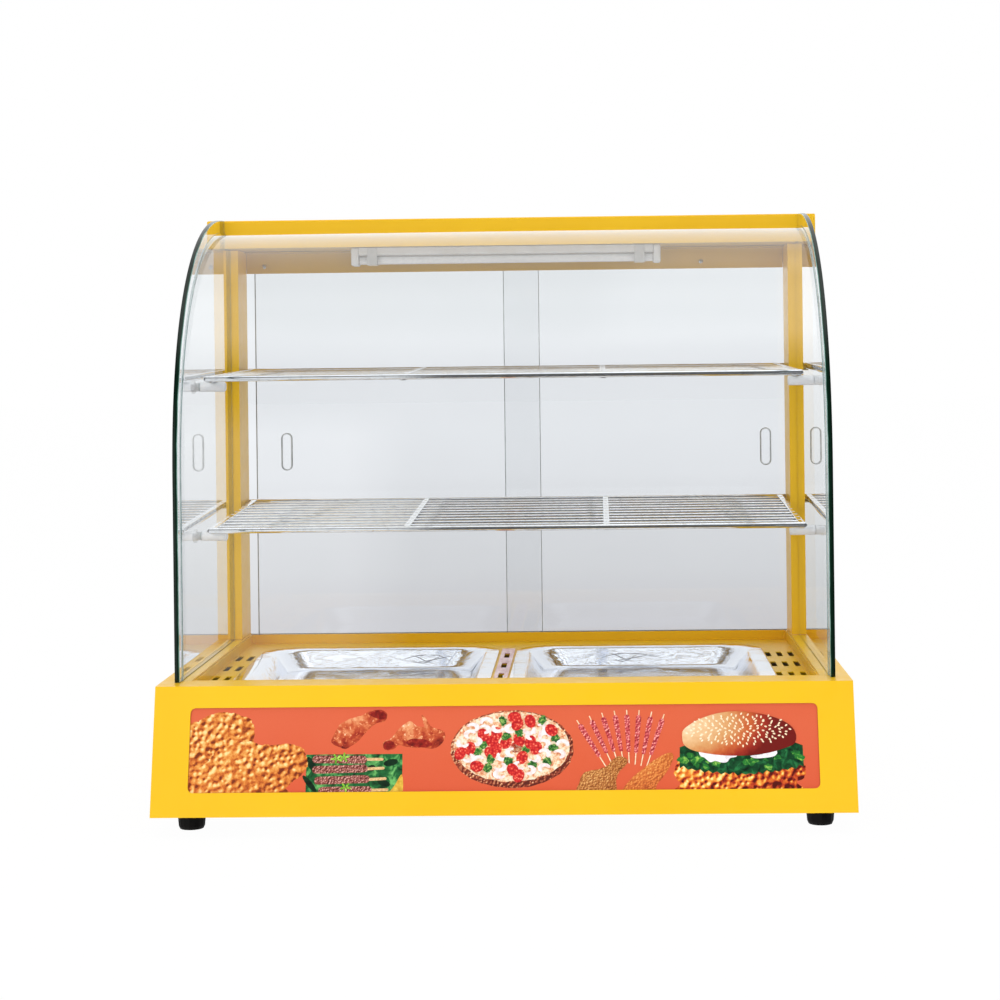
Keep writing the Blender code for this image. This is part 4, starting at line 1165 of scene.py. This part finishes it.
def add_floor_creases(bm, low, high, rng):
    """Ridges that wander over the tray's floor and stay off its walls."""
    margin = 0.036
    for ridge in range(11):
        start_x = low.x + 0.045 + (high.x - low.x - 0.120) * rng.random()
        start_y = rng.uniform(-0.060, 0.105)
        length = rng.uniform(0.020, 0.070)
        heading = rng.uniform(-0.5, 0.5)

        def place(share):
            x = start_x + length * share
            y = start_y + length * share * heading + 0.003 * math.sin(share * 7 + ridge)
            x = min(max(x, low.x + margin), high.x - margin)
            y = min(max(y, low.y + margin), high.y - margin)
            return (x, y, high.z + TRAY_FLOOR + 0.0001)

        add_crease(bm, place)


def add_wall_creases(bm, high, centre, rng):
    """Ridges that run up and down the slope of the tray's rear wall."""
    for ridge in range(5):
        reach = rng.uniform(0.012, 0.030)

        def place(share):
            x = centre + reach * (share - 0.5) * 2 + ridge * 0.006 - 0.012
            wave = 0.5 + 0.30 * math.sin(share * (2 + ridge % 3) + ridge * 1.7)
            return (x, high.y - 0.0277 + 0.0100 * wave, high.z - 0.0172 + 0.0132 * wave)

        add_crease(bm, place)


def build_tray_film(materials):
    """Raised creases of the protective film."""
    rng = random.Random(5)
    for side in SIDES:
        name = f"tray_{side}"
        low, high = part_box(name)
        bm = bmesh.new()
        add_floor_creases(bm, low, high, rng)
        add_wall_creases(bm, high, high.x - 0.080 if side == "left" else low.x + 0.120, rng)
        mesh = mesh_from(bm, f"{name}_film", 60.0)
        add_piece(f"{name}_film", mesh, name, (materials["tray_film"],))


# ---------------------------------------------------------------- shelves


SHELF_DEPTH = 0.268
SHELF_FRONT_Y = -0.080
SHELF_HALF_WIDTH = 0.300
SHELF_WIRES = 12
SHELF_PLACES = {"lower": (0.0, 0.275, 0.286), "upper": (-0.002, 0.427, 0.433)}
STRIP_PLACES_X = (-0.2945, -0.100, 0.100, 0.2945)


def build_shelves(materials):
    """Round wires between two flats at each strip, with a weld bead where they cross."""
    for level, (centre_x, front_z, rear_z) in SHELF_PLACES.items():
        name = f"shelf_{level}"
        tilt = math.atan((rear_z - front_z) / SHELF_DEPTH)
        place = Matrix.Translation((centre_x, SHELF_FRONT_Y, front_z)) @ Matrix.Rotation(tilt, 4, "X")
        bm = bmesh.new()
        for index in range(SHELF_WIRES):
            y = SHELF_DEPTH * index / (SHELF_WIRES - 1)
            last = index in (0, SHELF_WIRES - 1)
            end = SHELF_HALF_WIDTH - (0.0 if last else 0.003)
            rod(bm, (-end, y, 0.0), (end, y, 0.0), 0.003 if last else 0.002)
            if not last:
                for x in STRIP_PLACES_X:
                    spot = Matrix.Translation((x, y, 0.0022)) @ Matrix.Diagonal((1.7, 1.0, 0.5, 1.0))
                    bmesh.ops.create_icosphere(bm, subdivisions=2, radius=0.0013, matrix=spot)
        mesh = mesh_from(bm, f"{name}_wires", 50.0)
        chrome = (materials["chrome_wire"],)
        add_piece(f"{name}_wires", mesh, name, chrome, (name,), place)
        flats = []
        for x in STRIP_PLACES_X:
            flats.append(rounded_rectangle(x - 0.003, x + 0.003, 0.0035, SHELF_DEPTH - 0.0035, 0.001, 3))
        for layer, base, top in (("top", 0.0012, 0.0024), ("bottom", -0.0039, -0.0021)):
            mesh = cut_sheet(f"{name}_{layer}_flats", flats, "XY", base, top, 0.0004)
            smooth_by_angle(mesh)
            add_piece(f"{name}_{layer}_flats", mesh, name, chrome, (), place)


# ---------------------------------------------------------------- fasteners and dial marks


CONTROL_FACE_Y = 0.2052
CONTROL_Z = 0.072
KNOB_X = 0.215


# A pan head with a round recess: radius and height, as shares of the head's radius.
SCREW_PROFILE = (
    (0.0, 0.30), (0.30, 0.34), (0.36, 0.62), (0.70, 0.55), (0.93, 0.34), (1.0, 0.08), (1.0, 0.0), (0.0, 0.0),
)


def add_screw(name, place, quarter_turns, radius, materials):
    """A screw that faces the front at one quarter turn about X, and the back at minus one."""
    bm = bmesh.new()
    aside, up = Vector((1.0, 0.0, 0.0)), Vector((0.0, 1.0, 0.0))
    rings = []
    for out, height in SCREW_PROFILE:
        rings.append(add_ring(bm, Vector((0.0, 0.0, height * radius)), aside, up, out * radius, 20))
    join_rings(bm, rings)
    mesh = mesh_from(bm, name, 35.0)
    matrix = Matrix.Translation(place) @ Matrix.Rotation(quarter_turns * math.pi / 2, 4, "X")
    add_piece(name, mesh, "case", (materials["bright_steel"],), (), matrix)


def build_fasteners(materials):
    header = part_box("header_rail")[0]
    for index, x in enumerate((-0.281, 0.210)):
        add_screw(f"header_screw_{index + 1}", (x, header.y - 0.0001, 0.5505), 1, 0.0026, materials)
    low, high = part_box("rear_panel")
    spots = [(x, z) for x in (-0.308, -0.190, 0.060, 0.308) for z in (low.z + 0.012, high.z - 0.012)]
    for index, (x, z) in enumerate(spots):
        place = (x, CONTROL_FACE_Y + 0.0001, z)
        add_screw(f"panel_screw_{index + 1}", place, -1, 0.0032, materials)


def dial_place(share, radius, across=0.0):
    """X and Z on the dial, which runs through three quarters of a turn as share goes from 0 to 1."""
    turn = math.radians(-135 + 270 * share)
    x = KNOB_X - math.sin(turn) * radius + math.cos(turn) * across
    return (x, CONTROL_Z + math.cos(turn) * radius + math.sin(turn) * across)


def build_dial_marks(materials):
    """Temperature numbers and ticks round the knob, and on and off marks beside the rockers."""
    face = CONTROL_FACE_Y + 0.0001
    bm = bmesh.new()
    for index in range(13):
        far = 0.0239 if index % 3 == 0 else 0.0225
        spots = ((0.0205, -0.0003), (0.0205, 0.0003), (far, 0.0003), (far, -0.0003))
        add_plate(bm, [dial_place(index / 12, *spot) for spot in spots], face + 0.0001, face - 0.0001)
    bmesh.ops.dissolve_limit(bm, angle_limit=0.01, verts=bm.verts, edges=bm.edges)
    add_piece("dial_ticks", mesh_from(bm, "dial_ticks"), "case", (materials["dial_print"],))
    for index, number in enumerate(("30", "45", "60", "75", "90")):
        x = dial_place(index / 4, 0.0285)[0]
        z = dial_place(index / 4, 0.0275)[1]
        flat_letters(f"dial_{number}", number, 0.0068, (x, face, z), materials)
    for name, x in (("heat", 0.155), ("light", 0.115)):
        for state, mark, rise in (("on", "I", 0.0205), ("off", "O", -0.0205)):
            place = (x, face, CONTROL_Z + rise)
            flat_letters(f"{name}_{state}_mark", mark, 0.0060, place, materials)


def flat_letters(name, text, height, place, materials):
    """Raised print on the rear panel, read from behind the case."""
    data = bpy.data.curves.new(name, "FONT")
    data.body = text
    data.size = height
    data.align_x = "CENTER"
    data.align_y = "CENTER"
    data.extrude = 0.0001
    turn = Matrix.Rotation(math.pi, 4, "Z") @ Matrix.Rotation(math.pi / 2, 4, "X")
    matrix = Matrix.Translation(place) @ turn
    add_piece(name, curve_mesh(data), "case", (materials["dial_print"],), (), matrix)


# ---------------------------------------------------------------- CAD nodes that stay


def both(*stems):
    """The left and the right one of each."""
    return [f"{stem}_{side}" for stem in stems for side in SIDES]


KEPT = {
    "yellow_paint": ["base_shell", *both("post"), "roof_hood", "rear_panel"],
    "deck_paint": ["deck_plate"],
    "shaded_paint": ["roof_liner", "header_rail"],
    "picture_print": ["picture_panel"],
    "black_rubber": both("foot_front", "foot_rear"),
    "divider_film": ["tray_divider"],
    "aluminium_track": ["top_track", "bottom_track"],
    "white_nylon": both("peg_lower", "peg_upper"),
    "gold_zinc": both("hook_lower", "hook_upper"),
    "bright_steel": both("peg_cap_lower", "peg_cap_upper"),
    "clip_plastic": both("lamp_clip"),
    "lamp_white": ["lamp_batten", *both("lamp_end"), "lamp_driver"],
    "lamp_glow": ["lamp_tube"],
    "galvanised_steel": ["bottom_plate", "heat_reflector", "heater_bracket_front", "heater_bracket_rear"],
    "heater_sheath": both("heater"),
    "black_plastic": [
        "thermostat_knob", "heat_switch_housing", "light_switch_housing", "light_switch_rocker", "cord_gland",
    ],
    "red_plastic": ["heat_switch_rocker", "pilot_lamp"],
    "beige_plastic": ["thermostat_body", "terminal_block"],
}
EDGE_ROUNDING = {
    "yellow_paint": 0.0005,
    "deck_paint": 0.0003,
    "shaded_paint": 0.0005,
    "black_rubber": 0.0008,
    "white_nylon": 0.0006,
    "lamp_white": 0.0004,
    "black_plastic": 0.0005,
    "red_plastic": 0.0004,
    "beige_plastic": 0.0004,
}


def dress_frame(materials):
    """Gives each CAD node that is still shown its material and its rounded edges."""
    for slot, names in KEPT.items():
        for name in names:
            node = bpy.data.objects[name]
            node.data.materials.clear()
            node.data.materials.append(materials[slot])
            width = EDGE_ROUNDING.get(slot)
            if width:
                rounding = node.modifiers.new("edges", "BEVEL")
                rounding.width = width
                rounding.segments = 2
                rounding.limit_method = "ANGLE"
                rounding.angle_limit = math.radians(40)
                rounding.harden_normals = False


# ---------------------------------------------------------------- camera, light and floor


def make_camera():
    data = bpy.data.cameras.new("camera")
    data.sensor_width = 36.0
    data.lens = 76.66
    data.shift_x = -0.0558
    data.shift_y = -0.1416
    data.clip_end = 60.0
    camera = bpy.data.objects.new("camera", data)
    bpy.context.scene.collection.objects.link(camera)
    yaw = Matrix.Rotation(math.radians(1.099), 4, "Z")
    level = Matrix.Rotation(math.radians(90.0), 4, "X")
    roll = Matrix.Rotation(math.radians(-0.671), 4, "Z")
    camera.matrix_world = Matrix.Translation((0.0920, -2.2036, 0.4434)) @ yaw @ level @ roll
    bpy.context.scene.camera = camera


def make_world():
    """A white backdrop behind the case, a dark room in front of it, and two bright windows.

    What is seen straight on is white, and what is seen through glass is a pale grey.
    """
    world = bpy.data.worlds.new("studio")
    bpy.context.scene.world = world
    world.use_nodes = True
    world.node_tree.nodes.clear()
    sky = Nodes(world.node_tree)
    direction = sky.add("ShaderNodeTexCoord").outputs["Generated"]
    parts = sky.add("ShaderNodeSeparateXYZ", {"Vector": direction}).outputs
    x, y, z = parts["X"], parts["Y"], parts["Z"]
    behind = sky.span(y, -0.05, 0.20)
    front = sky.span(y, -0.05, 0.20, 1.0, 0.0)
    backdrop = sky.math("MULTIPLY", behind, sky.span(z, -0.14, 0.0, 0.66, 1.05))
    room = sky.math("MULTIPLY", front, sky.span(z, 0.66, 0.86, 0.10, 1.45))
    window_x = sky.math("MULTIPLY", sky.span(x, -0.16, -0.24), sky.span(x, -0.80, -0.62))
    left_window = sky.math("MULTIPLY", front, window_x, sky.span(z, 0.45, 0.20), 0.85)
    ceiling_light = sky.math("MULTIPLY", sky.span(x, 0.04, 0.10), sky.span(z, 0.80, 0.88), 0.35)
    strength = sky.math("ADD", backdrop, room, left_window, ceiling_light)
    unlit = sky.add("ShaderNodeBackground", {"Color": (1.0, 1.0, 1.0), "Strength": strength}).outputs[0]
    path = sky.add("ShaderNodeLightPath").outputs
    through = sky.math("GREATER_THAN", path["Transparent Depth"], 0.5)
    greys = sky.blend(sky.span(z, 0.0, 0.022), (0.930, 0.938, 0.962), (0.850, 0.868, 0.884))
    seen = sky.blend(through, (1.0, 1.0, 1.0), greys)
    white = sky.add("ShaderNodeBackground", {"Color": seen, "Strength": 1.0}).outputs[0]
    out = sky.add("ShaderNodeOutputWorld")
    sky.feed(out.inputs["Surface"], sky.mix(path["Is Camera Ray"], unlit, white))


def add_softbox(name, place, target, size, power, colour=(1.0, 1.0, 1.0)):
    data = bpy.data.lights.new(name, "AREA")
    data.shape = "RECTANGLE"
    data.size, data.size_y = size
    data.energy = power
    data.color = colour
    lamp = bpy.data.objects.new(name, data)
    lamp.location = place
    lamp.visible_glossy = False
    aim = Vector(target) - Vector(place)
    lamp.rotation_euler = aim.to_track_quat("-Z", "Y").to_euler()
    bpy.context.scene.collection.objects.link(lamp)


def make_floor():
    bm = bmesh.new()
    bmesh.ops.create_grid(bm, x_segments=2, y_segments=2, size=20.0)
    mesh = mesh_from(bm, "floor")
    floor = bpy.data.objects.new("floor", mesh)
    bpy.context.scene.collection.objects.link(floor)
    floor.visible_glossy = False
    look = Look("floor_white")
    away = look.add("ShaderNodeVectorMath", {0: look.place}, operation="LENGTH").outputs["Value"]
    # Seen through the glass, the floor is darker near the case: painted shade round the case, fading out far
    # off. Seen straight on, it is an even white.
    sweep = look.ramp(
        look.span(away, 0.0, 12.0),
        (0.06, (0.66, 0.655, 0.68)),
        (0.12, (0.695, 0.681, 0.705)),
        (0.19, (0.770, 0.770, 0.790)),
        (0.50, (0.900, 0.905, 0.930)),
        (0.90, (0.930, 0.938, 0.962)),
    )
    through = look.add("ShaderNodeLightPath").outputs["Transparent Depth"]
    glow = look.blend(look.math("GREATER_THAN", through, 0.5), (0.98, 0.98, 0.98), sweep)
    look.set(Base_Color=(0.02, 0.02, 0.02), Roughness=1.0, Specular_IOR_Level=0.0)
    look.set(Emission_Color=glow, Emission_Strength=1.0)
    mesh.materials.append(look.material)


def make_stage():
    make_camera()
    make_world()
    make_floor()
    middle = (0.0, 0.0, 0.35)
    add_softbox("key_light", (-1.2, -2.2, 1.5), middle, (1.6, 1.4), 16.0)
    add_softbox("fill_light", (1.3, -2.3, 0.9), middle, (1.4, 1.4), 9.5)
    add_softbox("front_light", (0.1, -3.0, 0.40), middle, (1.8, 0.7), 22.0, (1.0, 0.94, 0.86))
    add_softbox("top_light", (0.0, 0.2, 2.2), (0.0, 0.0, 0.3), (2.0, 1.2), 6.0)
    scene = bpy.context.scene
    scene.view_settings.view_transform = "Standard"
    scene.view_settings.look = "None"
    scene.cycles.transparent_max_bounces = 32
    scene.cycles.max_bounces = 12
    scene.cycles.diffuse_bounces = 5


# ---------------------------------------------------------------- assembly


make_stage()
MATERIALS = make_materials()
dress_frame(MATERIALS)
BUILDERS = (
    build_glass, build_doors, build_trays, build_tray_film, build_shelves, build_fasteners, build_dial_marks,
)
for build in BUILDERS:
    build(MATERIALS)
build_picture()
